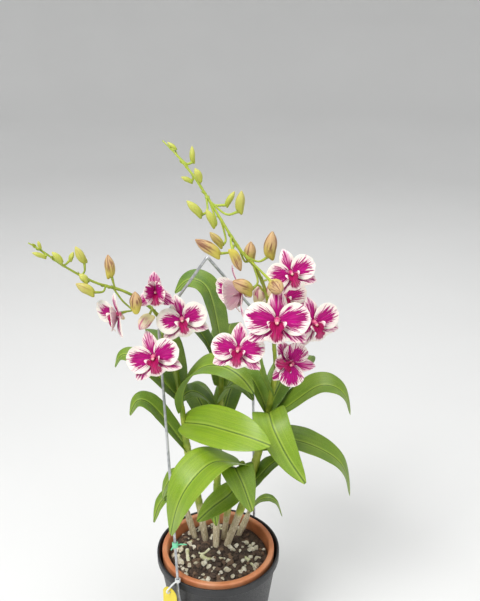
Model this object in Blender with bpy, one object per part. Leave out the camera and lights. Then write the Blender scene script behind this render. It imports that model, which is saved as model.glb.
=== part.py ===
"""Dendrobium orchid in a terracotta-coloured grow pot that stands in a dark cover pot.

Metres, +Z up. The origin is the middle of the cover pot's flat base, and the flowers face -Y.
Places of leaves, sprays and flowers are written in millimetres and turned into metres by mm().
"""

import math
import random
from collections import namedtuple

import bmesh
import bpy
from mathutils import Matrix, Vector
from mathutils.noise import noise

# Cover pot
COVER_HEIGHT = 0.122
COVER_BASE_RADIUS = 0.047
COVER_NECK_RADIUS = 0.0625
COVER_LIP_RADIUS = 0.0655
COVER_LIP_HEIGHT = 0.009
COVER_WALL = 0.0022
COVER_FLOOR = 0.0026

# Grow pot
SEAT_GAP = 0.0003
GROW_BASE_Z = COVER_FLOOR + SEAT_GAP
GROW_RIM_Z = 0.1245
GROW_BASE_RADIUS = 0.0405
GROW_NECK_RADIUS = 0.0555
GROW_COLLAR_RADIUS = 0.0600
GROW_COLLAR_HEIGHT = 0.013
GROW_WALL = 0.0014
GROW_FLOOR = 0.0020
DRAIN_RADIUS = 0.0045
DRAIN_CIRCLE = 0.024
DRAIN_COUNT = 4
POT_SEGMENTS = 36

# Potting mix
MIX_TOP = 0.112
MIX_EDGE_GAP = 0.0009
MIX_RELIEF = 0.0014
MIX_SEGMENTS = 18
MIX_RINGS = 3
CHUNK_COUNT = 17
CHUNK_SEED = 11

# Canes stand this deep in the mix, in holes this much wider than they are
CANE_DEPTH = 0.022
CANE_SPANS = 9
CANE_SIDES = 6
HOLE_CLEARANCE = 0.0006

# Leaves
LEAF_THICKNESS = 0.0011
LEAF_SPANS = 6
LEAF_FOLD = 0.30

# Flowers and buds
PETAL_THICKNESS = 0.0009
PETAL_SPANS = 5
SEPAL_SPANS = 3
LIP_SPANS = 4
STEM_RADIUS = 0.0009
SEPAL_SHARE = 0.3
JOINT_GAP = 0.0003
STALK_SPANS = 14
STALK_COLLAR = 0.004

# Hanger wire
WIRE_RADIUS = 0.0014
WIRE_HOLE_RADIUS = 0.0023
WIRE_SIDES = 6
HOOK_Z = 0.078
HOOK_RISE = 0.006
LEG_ANGLE = 234
LEG_TOP_Z = 0.130
WIRE_PEAK = (-7, 10, 448)
WIRE_SHOULDERS = ((-55, 8, 380), (36, 48, 380))

# Tag
TAG_WIDTH = 0.018
TAG_HEIGHT = 0.046
TAG_THICKNESS = 0.0009
TAG_TOP_Z = 0.119
TAG_HOLE_RADIUS = 0.0017
TAG_REACH = 0.0075
TAG_ASIDE = 0.0045

# Leaves of each cane: the points of the midrib from the cane outwards, the width, and the turn in degrees
Leaf = namedtuple("Leaf", "midrib width turn", defaults=[0])
TALL_LEFT_LEAVES = (
    Leaf([(-33, 0, 276), (-10, -30, 292), (14, -55, 300), (34, -68, 301), (51, -74, 297)], 38, 42),
    Leaf([(-33, 0, 290), (-31, -5, 318), (-15, -14, 344), (6, -30, 355), (24, -42, 350), (36, -48, 336)], 30, 15),
    Leaf([(-35, 0, 300), (-57, 20, 314), (-78, 26, 333), (-95, 28, 338), (-103, 28, 324)], 24),
    Leaf([(-30, 3, 241), (-54, 14, 271), (-69, 18, 288), (-81, 18, 291), (-89, 16, 275)], 26),
    Leaf([(-25, 9, 202), (-42, 0, 214), (-52, -4, 204), (-57, -5, 187)], 19),
    Leaf([(-36, 0, 312), (-50, 28, 345), (-62, 58, 352), (-70, 84, 332)], 30),
)
TALL_BACK_LEAVES = (
    Leaf([(5, 33, 333), (-3, 42, 381), (-12, 48, 405), (-28, 50, 410), (-42, 50, 396)], 32),
    Leaf([(4, 32, 312), (-12, 36, 350), (-30, 38, 372), (-46, 40, 374), (-56, 40, 360)], 28),
    Leaf([(2, 28, 262), (-12, 27, 288), (-27, 22, 299), (-40, 18, 288)], 26),
    Leaf([(3, 29, 283), (16, 24, 305), (28, 18, 306), (37, 13, 294)], 24),
    Leaf([(4, 31, 300), (8, 62, 335), (12, 90, 345), (14, 112, 325)], 30),
    Leaf([(0, 25, 236), (-20, 55, 270), (-35, 80, 275), (-45, 98, 255)], 30),
    Leaf([(1, 27, 250), (12, 55, 280), (19, 82, 281), (24, 102, 258)], 28),
)
TALL_RIGHT_LEAVES = (
    Leaf([(50, -8, 286), (51, -25, 302), (55, -43, 295), (68, -57, 273), (85, -63, 248)], 31),
    Leaf([(49, -8, 280), (80, -12, 309), (102, -12, 325), (122, -13, 318), (131, -15, 294)], 36, 8),
    Leaf([(44, -5, 251), (70, -6, 260), (100, -6, 251), (127, -6, 230), (137, -7, 193)], 34, 12),
    Leaf([(54, -10, 312), (42, -8, 340), (37, -14, 368), (36, -24, 386)], 26),
    Leaf([(50, -8, 292), (36, 2, 322), (22, 5, 328), (11, 6, 314)], 26),
    Leaf([(46, -6, 262), (60, 6, 285), (71, 11, 298), (79, 12, 291)], 22),
    Leaf([(51, -8, 296), (70, 22, 322), (88, 48, 328), (100, 68, 308)], 30),
    Leaf([(30, -1, 192), (42, -8, 215), (56, -10, 234), (70, -6, 240)], 26, 20),
)
SHORT_FRONT_LEAVES = (
    Leaf([(26, -34, 249), (0, -62, 272), (-20, -80, 264), (-33, -88, 243), (-41, -86, 207)], 42),
    Leaf([(23, -28, 240), (19, -48, 255), (26, -59, 244), (35, -63, 216)], 32),
    Leaf([(18, -15, 209), (12, -32, 212), (-4, -42, 205), (-19, -47, 192)], 23, -25),
    Leaf([(8, 8, 162), (1, -4, 182), (-3, -14, 183), (-1, -20, 165)], 16),
)
SHORT_LEFT_LEAVES = (Leaf([(-35, 22, 160), (-48, 8, 184), (-60, -2, 180), (-67, -8, 160)], 17),)
SHORT_RIGHT_LEAVES = (Leaf([(33, 37, 138), (48, 34, 158), (62, 33, 156), (70, 32, 137)], 14),)

# Canes: the points of the axis from the surface of the mix up, and the radii at foot, belly and top
Cane = namedtuple("Cane", "axis foot belly top leaves")
CANES = {
    "cane_tall_left": Cane(
        [(-15, 24, 112), (-22, 14, 180), (-30, 3, 240), (-34, 0, 290), (-39, 0, 338)],
        3.6, 4.6, 2.4, TALL_LEFT_LEAVES,
    ),
    "cane_tall_back": Cane(
        [(-3, 13, 112), (-1, 20, 190), (3, 28, 270), (5, 33, 338)],
        3.6, 4.4, 2.4, TALL_BACK_LEAVES,
    ),
    "cane_tall_right": Cane(
        [(9, 15, 112), (28, 2, 183), (43, -5, 250), (52, -10, 302), (57, -12, 335)],
        3.8, 4.8, 2.6, TALL_RIGHT_LEAVES,
    ),
    "cane_short_front": Cane(
        [(5, 25, 112), (11, 4, 170), (19, -18, 218), (26, -34, 252)],
        3.0, 3.8, 2.6, SHORT_FRONT_LEAVES,
    ),
    "cane_short_left": Cane(
        [(-27, 28, 112), (-33, 26, 140), (-37, 22, 166)],
        3.2, 4.2, 2.0, SHORT_LEFT_LEAVES,
    ),
    "cane_short_right": Cane(
        [(22, 32, 112), (30, 36, 130), (35, 38, 144)],
        3.2, 4.0, 2.0, SHORT_RIGHT_LEAVES,
    ),
}

# Flower stalks, from just above the top of their tall cane to the tip
STALKS = {
    "right": [
        (55, -24, 372), (50, -40, 411), (46, -44, 434), (36, -48, 459),
        (23, -46, 474), (6, -39, 500), (-11, -30, 526), (-28, -22, 547), (-42, -15, 560),
    ],
    "left": [
        (-44, 1, 364), (-52, 0, 388), (-63, -3, 405), (-83, -9, 421),
        (-108, -17, 433), (-132, -25, 451), (-149, -32, 468), (-159, -35, 476),
    ],
}

# Buds: the base and the tip, the breadth, and the share of the stalk at which the stem leaves it
Bud = namedtuple("Bud", "base tip breadth share")
BUDS = {
    "right": (
        Bud((-30, -20, 554), (-38, -17, 559), 3.6, 0.94),
        Bud((-17, -20, 542), (-17, -17, 556), 5.0, 0.90),
        Bud((-9, -34, 530), (-14, -36, 541), 6.6, 0.84),
        Bud((-17, -24, 527), (-27, -20, 530), 4.6, 0.86),
        Bud((-8, -44, 503), (-21, -46, 516), 7.6, 0.74),
        Bud((3, -45, 494), (-5, -47, 509), 7.0, 0.72),
        Bud((11, -32, 508), (19, -30, 520), 5.6, 0.77),
        Bud((22, -42, 505), (25, -44, 524), 8.4, 0.72),
        Bud((9, -46, 477), (-2, -50, 490), 7.4, 0.66),
        Bud((7, -56, 473), (-14, -58, 486), 11.0, 0.58),
        Bud((17, -58, 478), (24, -60, 459), 9.0, 0.60),
        Bud((31, -38, 460), (33, -37, 478), 11.0, 0.56),
        Bud((47, -48, 467), (51, -50, 491), 12.0, 0.51),
        Bud((34, -62, 443), (17, -66, 452), 13.0, 0.46),
        Bud((49, -82, 455), (56, -97, 452), 13.0, 0.47),
        Bud((41, -38, 423), (40, -40, 439), 12.0, 0.28),
        Bud((50, -46, 430), (50, -46, 444), 8.0, 0.38),
    ),
    "left": (
        Bud((-149, -35, 471), (-150, -36, 478), 3.4, 0.92),
        Bud((-145, -34, 463), (-156, -38, 468), 4.6, 0.88),
        Bud((-132, -30, 457), (-140, -33, 467), 6.0, 0.80),
        Bud((-128, -22, 455), (-124, -20, 463), 4.6, 0.76),
        Bud((-115, -20, 452), (-122, -20, 468), 8.2, 0.68),
        Bud((-112, -26, 437), (-119, -28, 445), 7.0, 0.66),
        Bud((-106, -30, 428), (-122, -32, 437), 9.6, 0.58),
        Bud((-93, -12, 436), (-96, -10, 457), 10.0, 0.54),
        Bud((-69, -36, 413), (-69, -38, 432), 11.5, 0.44),
        Bud((-59, -20, 403), (-69, -24, 389), 12.5, 0.36),
    ),
}
BUD_SHAPE = ((0.22, 0.80), (0.58, 1.0), (1.0, 0.14))

# Blooms: the centre, the way each faces, its roll anticlockwise in degrees, the petal length,
# how far it is shut in degrees, and the share of the stalk at which its stem leaves it
Bloom = namedtuple("Bloom", "stalk centre facing roll length shut share")
BLOOMS = {
    "flower_right_front": Bloom("right", (54, -88, 426), (-0.08, -1.0, 0.22), 0, 27.5, 6, 0.30),
    "flower_right_top": Bloom("right", (66, -62, 458), (0.10, -1.0, 0.30), 18, 21.5, 8, 0.38),
    "flower_right_outer": Bloom("right", (87, -58, 411), (0.40, -1.0, 0.18), 14, 24.0, 8, 0.22),
    "flower_right_low": Bloom("right", (68, -67, 377), (-0.02, -1.0, 0.05), -98, 21.5, 10, 0.16),
    "flower_right_inner": Bloom("right", (22, -74, 393), (-0.12, -1.0, 0.34), -3, 23.5, 9, 0.20),
    "flower_right_side": Bloom("right", (25, -48, 436), (-0.93, -0.20, -0.12), 8, 26.0, 46, 0.33),
    "flower_right_behind": Bloom("right", (64, -22, 420), (-0.05, -1.0, 0.20), 20, 21.0, 10, 0.10),
    "flower_left_small": Bloom("left", (-53, -20, 425), (0.05, -1.0, 0.30), 2, 19.5, 62, 0.42),
    "flower_left_right": Bloom("left", (-30, -14, 395), (0.02, -1.0, 0.30), 15, 24.0, 8, 0.30),
    "flower_left_low": Bloom("left", (-56, -28, 363), (-0.12, -1.0, 0.30), 19, 25.8, 8, 0.20),
    "flower_left_side": Bloom("left", (-88, -24, 404), (-0.86, -0.50, 0.02), -4, 22.5, 34, 0.55),
}


def mm(values):
    """A point given in millimetres, in metres."""
    return Vector(values) / 1000


def clear_scene():
    for obj in list(bpy.data.objects):
        bpy.data.objects.remove(obj)


def finish_of(name, colour, roughness, metallic=0.0):
    """A Principled material, made once for each name."""
    found = bpy.data.materials.get(name)
    if found:
        return found
    material = bpy.data.materials.new(name)
    material.use_nodes = True
    shader = material.node_tree.nodes["Principled BSDF"]
    shader.inputs["Base Color"].default_value = (*colour, 1.0)
    shader.inputs["Roughness"].default_value = roughness
    shader.inputs["Metallic"].default_value = metallic
    material.diffuse_color = (*colour, 1.0)
    return material


def object_of(name, shape, material=None):
    """The bmesh as a named object with smooth faces and sharp edges kept."""
    bmesh.ops.recalc_face_normals(shape, faces=shape.faces)
    mesh = bpy.data.meshes.new(name)
    shape.to_mesh(mesh)
    shape.free()
    mesh.shade_smooth()
    mesh.set_sharp_from_angle(angle=math.radians(40))
    if material:
        mesh.materials.append(material)
    obj = bpy.data.objects.new(name, mesh)
    bpy.context.scene.collection.objects.link(obj)
    return obj


def combine(base, others, operation):
    """Joins or cuts base with the other objects by one Boolean, then removes them."""
    group = bpy.data.collections.new("joined")
    bpy.context.scene.collection.children.link(group)
    for obj in others:
        bpy.context.scene.collection.objects.unlink(obj)
        group.objects.link(obj)
    boolean = base.modifiers.new("join", "BOOLEAN")
    boolean.operation = operation
    boolean.operand_type = "COLLECTION"
    boolean.collection = group
    boolean.solver = "EXACT"
    bpy.context.view_layer.objects.active = base
    bpy.ops.object.modifier_apply(modifier=boolean.name)
    for obj in others:
        bpy.data.objects.remove(obj)
    bpy.data.collections.remove(group)
    return base


def turned(name, profile, segments, material=None, place=None):
    """A solid of revolution about Z. Its profile starts and ends on the axis or meets itself."""
    shape = bmesh.new()
    corners = [shape.verts.new((radius, 0, height)) for radius, height in profile]
    edges = [shape.edges.new(pair) for pair in zip(corners, corners[1:])]
    around = {"axis": (0, 0, 1), "cent": (0, 0, 0), "angle": 2 * math.pi, "steps": segments}
    bmesh.ops.spin(shape, geom=corners + edges, **around)
    bmesh.ops.remove_doubles(shape, verts=shape.verts, dist=1e-6)
    if place:
        bmesh.ops.transform(shape, matrix=place, verts=shape.verts)
    return object_of(name, shape, material)


def even(spans):
    """Shares of a path from 0 to 1 in equal steps."""
    return [k / spans for k in range(spans + 1)]


def closer_at_tip(spans):
    """Shares of a path from 0 to 1 with shorter steps towards 1."""
    return [1 - (1 - k / spans) ** 1.4 for k in range(spans + 1)]


def smooth_path(points, shares):
    """Points at the given shares of a smooth curve through the given ones."""
    ends = [2 * points[0] - points[1], *points, 2 * points[-1] - points[-2]]
    path = []
    for share in shares:
        place = share * (len(points) - 1)
        k = min(int(place), len(points) - 2)
        t = place - k
        a, b, c, d = ends[k : k + 4]
        curve = 2 * b + (c - a) * t + (2 * a - 5 * b + 4 * c - d) * t**2 + (3 * b - a - 3 * c + d) * t**3
        path.append(curve / 2)
    return path


def frames_along(path, facing):
    """(tangent, normal) at each point: the normal starts towards facing and is carried on untwisted."""
    frames = []
    normal = Vector(facing)
    for k in range(len(path)):
        tangent = (path[min(k + 1, len(path) - 1)] - path[max(k - 1, 0)]).normalized()
        normal = (normal - tangent * normal.dot(tangent)).normalized()
        frames.append((tangent, normal.copy()))
    return frames


def tube(name, path, radii, sides, material=None):
    """A closed bar along a path, with a radius at each point."""
    first = (path[1] - path[0]).normalized()
    sideways = Vector((1, 0, 0)) if abs(first.x) < 0.8 else Vector((0, 1, 0))
    shape = bmesh.new()
    rings = []
    for point, radius, (tangent, normal) in zip(path, radii, frames_along(path, sideways)):
        across = tangent.cross(normal)
        ring = []
        for k in range(sides):
            turn = 2 * math.pi * k / sides
            ring.append(shape.verts.new(point + radius * (math.cos(turn) * normal + math.sin(turn) * across)))
        rings.append(ring)
    for low, high in zip(rings, rings[1:]):
        for k in range(sides):
            n = (k + 1) % sides
            shape.faces.new((low[k], low[n], high[n], high[k]))
    shape.faces.new(rings[0])
    shape.faces.new(rings[-1])
    return object_of(name, shape, material)


def blade(name, path, shares, width, outline, fold, facing, thickness):
    """A thin folded leaf or petal. outline(t) is the share of the width, fold(t) the lift of the edges."""
    shape = bmesh.new()
    skins = {1: [], -1: []}
    for t, point, (tangent, normal) in zip(shares, path, frames_along(path, facing)):
        half = width / 2 * outline(t)
        side = tangent.cross(normal)
        for face, rows in skins.items():
            row = []
            for a in (-1, 0, 1):
                lift = fold(t) * abs(a) * half + face * thickness / 2
                row.append(shape.verts.new(point + side * half * a + normal * lift))
            rows.append(row)
    rims = []
    for rows in skins.values():
        for low, high in zip(rows, rows[1:]):
            for j in (0, 1):
                shape.faces.new((low[j], low[j + 1], high[j + 1]))
                shape.faces.new((low[j], high[j + 1], high[j]))
        right = [row[2] for row in rows[1:-1]]
        left = [row[0] for row in rows[-2:0:-1]]
        rims.append(rows[0] + right + rows[-1][::-1] + left)
    for k in range(len(rims[0])):
        n = (k + 1) % len(rims[0])
        shape.faces.new((rims[0][k], rims[0][n], rims[1][n], rims[1][k]))
    return object_of(name, shape)


def hump(t, start, end, skew, fullness):
    """Rises from near 0 and falls back, its top moved by skew and its flanks filled by fullness."""
    return math.sin(math.pi * (start + (end - start) * t) ** skew) ** fullness


def leaf_outline(t):
    """Clasping base, broadest before the middle, acute tip."""
    return 0.26 * (1 - t) ** 3 + 0.035 + hump(t, 0.02, 0.995, 0.86, 0.72)


def leaf_fold(t):
    """The halves rise from the midrib, less towards the tip."""
    return LEAF_FOLD * (1.2 - 0.7 * t)


def petal_outline(t):
    """Broad and round, on a narrow claw."""
    return 0.20 * (1 - t) + hump(t, 0.04, 0.97, 1.18, 0.62)


def sepal_outline(t):
    """Egg-shaped, with a pointed tip."""
    return 0.26 * (1 - t) ** 2 + 0.03 + 0.95 * hump(t, 0.03, 0.99, 0.92, 0.80)


def lip_outline(t):
    """Side lobes, a waist, then the round middle lobe."""
    side_lobes = 0.80 * math.exp(-(((t - 0.26) / 0.16) ** 2))
    middle_lobe = 0.98 * math.exp(-(((t - 0.74) / 0.22) ** 2))
    return 0.10 + max(side_lobes, middle_lobe) * (1 - 0.5 * t**8)


def petal_fold(t):
    return 0.05 * t


def sepal_fold(t):
    return -0.06 * t


def lip_fold(t):
    """The side lobes stand up round the column; the middle lobe is nearly flat."""
    return 0.9 * math.exp(-(((t - 0.26) / 0.20) ** 2)) - 0.12 * t


TepalKind = namedtuple("TepalKind", "spans outline fold")
SEPAL = TepalKind(SEPAL_SPANS, sepal_outline, sepal_fold)
PETAL = TepalKind(PETAL_SPANS, petal_outline, petal_fold)


def leg_direction(leg):
    """The level direction from the middle to a hanger leg: 0 at the front left, 1 behind."""
    turn = math.radians(LEG_ANGLE + 180 * leg)
    return Vector((math.cos(turn), math.sin(turn), 0))


def cover_radius(height):
    """The cover pot's outer radius below its lip."""
    share = height / (COVER_HEIGHT - COVER_LIP_HEIGHT)
    return COVER_BASE_RADIUS + share * (COVER_NECK_RADIUS - COVER_BASE_RADIUS)


def grow_radius(height):
    """The grow pot's outer radius below its collar."""
    share = (height - GROW_BASE_Z) / (GROW_RIM_Z - GROW_COLLAR_HEIGHT - GROW_BASE_Z)
    return GROW_BASE_RADIUS + share * (GROW_NECK_RADIUS - GROW_BASE_RADIUS)


def up(height):
    return Vector((0, 0, height))


def cover_pot():
    """The dark outer pot, with a turned-out lip and a hole for each end of the wire."""
    lip_foot = COVER_HEIGHT - COVER_LIP_HEIGHT
    profile = [
        (0, 0),
        (COVER_BASE_RADIUS - 0.001, 0),
        (COVER_BASE_RADIUS, 0.001),
        (COVER_NECK_RADIUS, lip_foot - 0.0012),
        (COVER_LIP_RADIUS, lip_foot),
        (COVER_LIP_RADIUS, COVER_HEIGHT),
        (COVER_LIP_RADIUS - COVER_WALL, COVER_HEIGHT),
        (COVER_NECK_RADIUS - COVER_WALL + 0.0012, lip_foot - 0.001),
        (COVER_BASE_RADIUS - COVER_WALL, COVER_FLOOR),
        (0, COVER_FLOOR),
    ]
    dark = finish_of("dark_plastic", (0.035, 0.037, 0.042), 0.42)
    pot = turned("cover_pot", profile, POT_SEGMENTS, dark)
    cutters = []
    for leg in (0, 1):
        wall = cover_radius(HOOK_Z)
        ends = [leg_direction(leg) * (wall + step * COVER_WALL) + up(HOOK_Z) for step in (-2, 1)]
        cutters.append(tube("wire_hole", ends, [WIRE_HOLE_RADIUS] * 2, 8))
    return combine(pot, cutters, "DIFFERENCE")


def grow_pot():
    """The terracotta-coloured pot with its thick collar and drain holes."""
    collar_foot = GROW_RIM_Z - GROW_COLLAR_HEIGHT
    profile = [
        (0, GROW_BASE_Z),
        (GROW_BASE_RADIUS, GROW_BASE_Z),
        (GROW_NECK_RADIUS, collar_foot),
        (GROW_COLLAR_RADIUS, collar_foot),
        (GROW_COLLAR_RADIUS, GROW_RIM_Z - 0.0012),
        (GROW_COLLAR_RADIUS - 0.0012, GROW_RIM_Z),
        (GROW_COLLAR_RADIUS - 0.0048, GROW_RIM_Z),
        (GROW_COLLAR_RADIUS - 0.0058, GROW_RIM_Z - 0.0016),
        (GROW_NECK_RADIUS - GROW_WALL, collar_foot),
        (GROW_BASE_RADIUS - GROW_WALL, GROW_BASE_Z + GROW_FLOOR),
        (0, GROW_BASE_Z + GROW_FLOOR),
    ]
    terracotta = finish_of("terracotta_plastic", (0.62, 0.24, 0.11), 0.55)
    pot = turned("grow_pot", profile, POT_SEGMENTS, terracotta)
    cutters = []
    for k in range(DRAIN_COUNT):
        turn = 2 * math.pi * (k + 0.5) / DRAIN_COUNT
        middle = Vector((math.cos(turn), math.sin(turn), 0)) * DRAIN_CIRCLE
        ends = [middle + up(GROW_BASE_Z - GROW_FLOOR), middle + up(GROW_BASE_Z + 2 * GROW_FLOOR)]
        cutters.append(tube("drain", ends, [DRAIN_RADIUS] * 2, 8))
    return combine(pot, cutters, "DIFFERENCE")


def mix_height(x, y):
    """The surface of the potting mix, uneven and slightly heaped at the clump."""
    heap = 0.0012 * math.exp(-((x**2 + (y - 0.018) ** 2) / 0.025**2))
    return MIX_TOP + heap + MIX_RELIEF * noise(Vector((x, y, 0.3)) * 90)


def mix_radius():
    """The radius of the mix at its surface."""
    return grow_radius(MIX_TOP - 0.005) - GROW_WALL - MIX_EDGE_GAP


def potting_mix():
    """Bark and pumice filling the grow pot, with chunks standing out and a hole for each cane."""
    edge = mix_radius()
    profile = [
        (0, GROW_BASE_Z + GROW_FLOOR + SEAT_GAP),
        (GROW_BASE_RADIUS - GROW_WALL - MIX_EDGE_GAP, GROW_BASE_Z + GROW_FLOOR + SEAT_GAP),
        (edge, MIX_TOP - 0.005),
    ]
    profile += [(edge * k / MIX_RINGS, MIX_TOP) for k in range(MIX_RINGS, -1, -1)]
    brown = finish_of("bark_mix", (0.11, 0.075, 0.06), 0.9)
    mix = turned("potting_mix", profile, MIX_SEGMENTS, brown)
    for vertex in mix.data.vertices:
        if vertex.co.z > MIX_TOP - 0.0001:
            vertex.co.z = mix_height(vertex.co.x, vertex.co.y)
    combine(mix, mix_chunks() + surface_roots(), "UNION")
    return combine(mix, [cane_hole(cane) for cane in CANES.values()], "DIFFERENCE")


def mix_chunks():
    """Angular chunks at random places clear of the canes, half sunk in the surface."""
    draw = random.Random(CHUNK_SEED)
    feet = [mm(cane.axis[0]) for cane in CANES.values()]
    chunks = []
    while len(chunks) < CHUNK_COUNT:
        size = draw.uniform(0.0030, 0.0052)
        radius = (mix_radius() - 1.5 * size) * math.sqrt(draw.random())
        turn = draw.uniform(0, 2 * math.pi)
        x, y = radius * math.cos(turn), radius * math.sin(turn)
        if min(math.dist((x, y), foot[:2]) for foot in feet) < size + 0.0055:
            continue
        spin = Matrix.Rotation(draw.uniform(0, math.pi), 4, "Z") @ Matrix.Rotation(draw.uniform(-0.5, 0.5), 4, "X")
        stretch = Matrix.Diagonal((1.0, draw.uniform(0.6, 0.95), draw.uniform(0.5, 0.8), 1.0))
        shape = bmesh.new()
        bmesh.ops.create_uvsphere(shape, u_segments=5, v_segments=3, radius=size)
        place = Matrix.Translation((x, y, mix_height(x, y) + 0.15 * size))
        bmesh.ops.transform(shape, matrix=place @ spin @ stretch, verts=shape.verts)
        chunks.append(object_of("chunk", shape))
    return chunks


def surface_roots():
    """Thick pale roots lying half sunk on the mix in front of the canes."""
    routes = (
        [(-19, -3), (-12, -8), (-3, -9), (5, -7)],
        [(-34, 6), (-33, -4), (-31, -14)],
        [(26, -4), (32, -9), (38, -18)],
    )
    roots = []
    for route in routes:
        points = [mm((x, y, 0)) + up(mix_height(x / 1000, y / 1000) + 0.0008) for x, y in route]
        path = smooth_path(points, even(4))
        roots.append(tube("root", path, [0.0017, 0.0021, 0.0022, 0.0021, 0.0014], 5))
    return roots


def cane_path(cane):
    """The axis of a cane, carried on down into the mix."""
    joints = [mm(point) for point in cane.axis]
    foot = joints[0] - (joints[1] - joints[0]).normalized() * CANE_DEPTH
    return [foot, *smooth_path(joints, even(CANE_SPANS))]


def cane_hole(cane):
    """The plain hole that a cane stands in."""
    foot, surface = cane_path(cane)[:2]
    along = (surface - foot).normalized()
    return tube(
        "hole",
        [foot - along * SEAT_GAP, surface + along * 0.012],
        [cane.foot / 1000 + HOLE_CLEARANCE] * 2,
        CANE_SIDES,
    )


def leafy_cane(name, cane):
    """A jointed cane with its leaves grown into it."""
    radii = [cane.foot]
    for t in even(CANE_SPANS):
        belly = math.sin(math.pi * min(1.0, 1.25 * t)) ** 2
        radii.append(cane.foot + (cane.top - cane.foot) * t + (cane.belly - cane.foot) * belly)
    green = finish_of("cane_green", (0.30, 0.42, 0.07), 0.5)
    stem = tube(name, cane_path(cane), [radius / 1000 for radius in radii], CANE_SIDES, green)
    shares = even(LEAF_SPANS)
    leaves = []
    for leaf in cane.leaves:
        route = [mm(point) for point in leaf.midrib]
        outwards = (route[-1] - route[0]) * Vector((1, 1, 0))
        facing = up(outwards.length) - outwards * 0.35
        facing.rotate(Matrix.Rotation(math.radians(leaf.turn), 3, outwards))
        path = smooth_path(route, shares)
        leaves.append(
            blade("leaf", path, shares, leaf.width / 1000, leaf_outline, leaf_fold, facing, LEAF_THICKNESS)
        )
    return combine(stem, leaves, "UNION")


def bloom_place(bloom):
    """Places a bloom drawn with +Z the way it faces and +Y to its top sepal, one petal length as the unit."""
    forward = Vector(bloom.facing).normalized()
    right = up(1).cross(forward).normalized()
    turn = Matrix((right, forward.cross(right), forward)).transposed().to_4x4()
    roll = Matrix.Rotation(math.radians(bloom.roll), 4, "Z")
    return Matrix.Translation(mm(bloom.centre)) @ turn @ roll @ Matrix.Scale(bloom.length / 1000, 4)


def tepal(place, unit, angle, length, width, kind, lift, shut):
    """A petal or sepal that leaves the middle at an angle and arches a little."""
    out = Vector((math.cos(math.radians(angle)), math.sin(math.radians(angle)), 0))
    along = out * math.cos(shut) + up(math.sin(shut))
    face = up(math.cos(shut)) - out * math.sin(shut)
    arch = ((0.08, 0.0), (0.35, 0.055), (0.70, 0.06), (1.0, -0.02))
    points = [place @ ((along * share + face * bow) * length + up(lift)) for share, bow in arch]
    shares = closer_at_tip(kind.spans)
    facing = place.to_3x3() @ face
    path = smooth_path(points, shares)
    return blade("tepal", path, shares, width * unit, kind.outline, kind.fold, facing, PETAL_THICKNESS)


def stem_end(place):
    """Where a bloom's own stem meets its stalk."""
    return place @ Vector((0, 0.07, -0.36))


def flower(name, bloom):
    """One bloom: three sepals, two broad petals, the lip and the column, with the chin behind."""
    place = bloom_place(bloom)
    unit = bloom.length / 1000
    shut = math.radians(bloom.shut)

    def bar(label, points, shares, material=None):
        path = [place @ Vector(point) for point in points]
        return tube(label, path, [share * unit for share in shares], 5, material)

    magenta = finish_of("petal_magenta", (0.62, 0.04, 0.30), 0.5)
    column = bar(name, [(0, 0.02, -0.13), (0, 0.03, 0.12), (0, -0.02, 0.27)], [0.15, 0.12, 0.07], magenta)
    parts = [
        bar("chin", [(0, -0.03, -0.09), (0, -0.14, -0.18), (0, -0.24, -0.29)], [0.07, 0.10, 0.05]),
        bar("ovary", [(0, 0.04, -0.08), (0, 0.07, -0.36)], [0.08, 1.3 * STEM_RADIUS / unit]),
    ]
    for angle, length, width in ((90, 0.98, 0.56), (-35, 1.06, 0.54), (-145, 1.06, 0.54)):
        parts.append(tepal(place, unit, angle, length, width, SEPAL, -0.035, SEPAL_SHARE * shut))
    for angle in (10, 170):
        parts.append(tepal(place, unit, angle, 1.0, 0.95, PETAL, 0.035, shut))
    lip = [(0, -0.05, 0.02), (0, -0.15, 0.20), (0, -0.33, 0.30), (0, -0.52, 0.27), (0, -0.68, 0.16)]
    shares = even(LIP_SPANS)
    path = smooth_path([place @ Vector(point) for point in lip], shares)
    facing = place.to_3x3() @ Vector((0, 0.9, 0.5))
    parts.append(blade("lip", path, shares, 0.60 * unit, lip_outline, lip_fold, facing, PETAL_THICKNESS))
    return combine(column, parts, "UNION")


def bud_on_stem(start, bud):
    """A pointed bud and the thin curved stem it grows on."""
    base, tip = mm(bud.base), mm(bud.tip)
    axis = (tip - base).normalized()
    bend = start.lerp(base, 0.6) - axis * 0.22 * (base - start).length
    path = smooth_path([start, bend, base], even(2)) + [base.lerp(tip, share) for share, _ in BUD_SHAPE]
    radii = [STEM_RADIUS] * 3 + [bud.breadth / 2000 * fullness for _, fullness in BUD_SHAPE]
    return tube("bud", path, radii, 5)


def bloom_stem(start, bloom):
    """The thin stem that ends just short of the bloom's own end."""
    place = bloom_place(bloom)
    end = stem_end(place)
    away = (end - place @ Vector((0, 0.02, 0))).normalized()
    bend = end + away * 0.006
    middle = start.lerp(bend, 0.5) - up(0.08 * (bend - start).length)
    path = smooth_path([start, middle, bend], even(2)) + [end + away * JOINT_GAP]
    return tube("stem", path, [STEM_RADIUS] * 4, 5)


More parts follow.
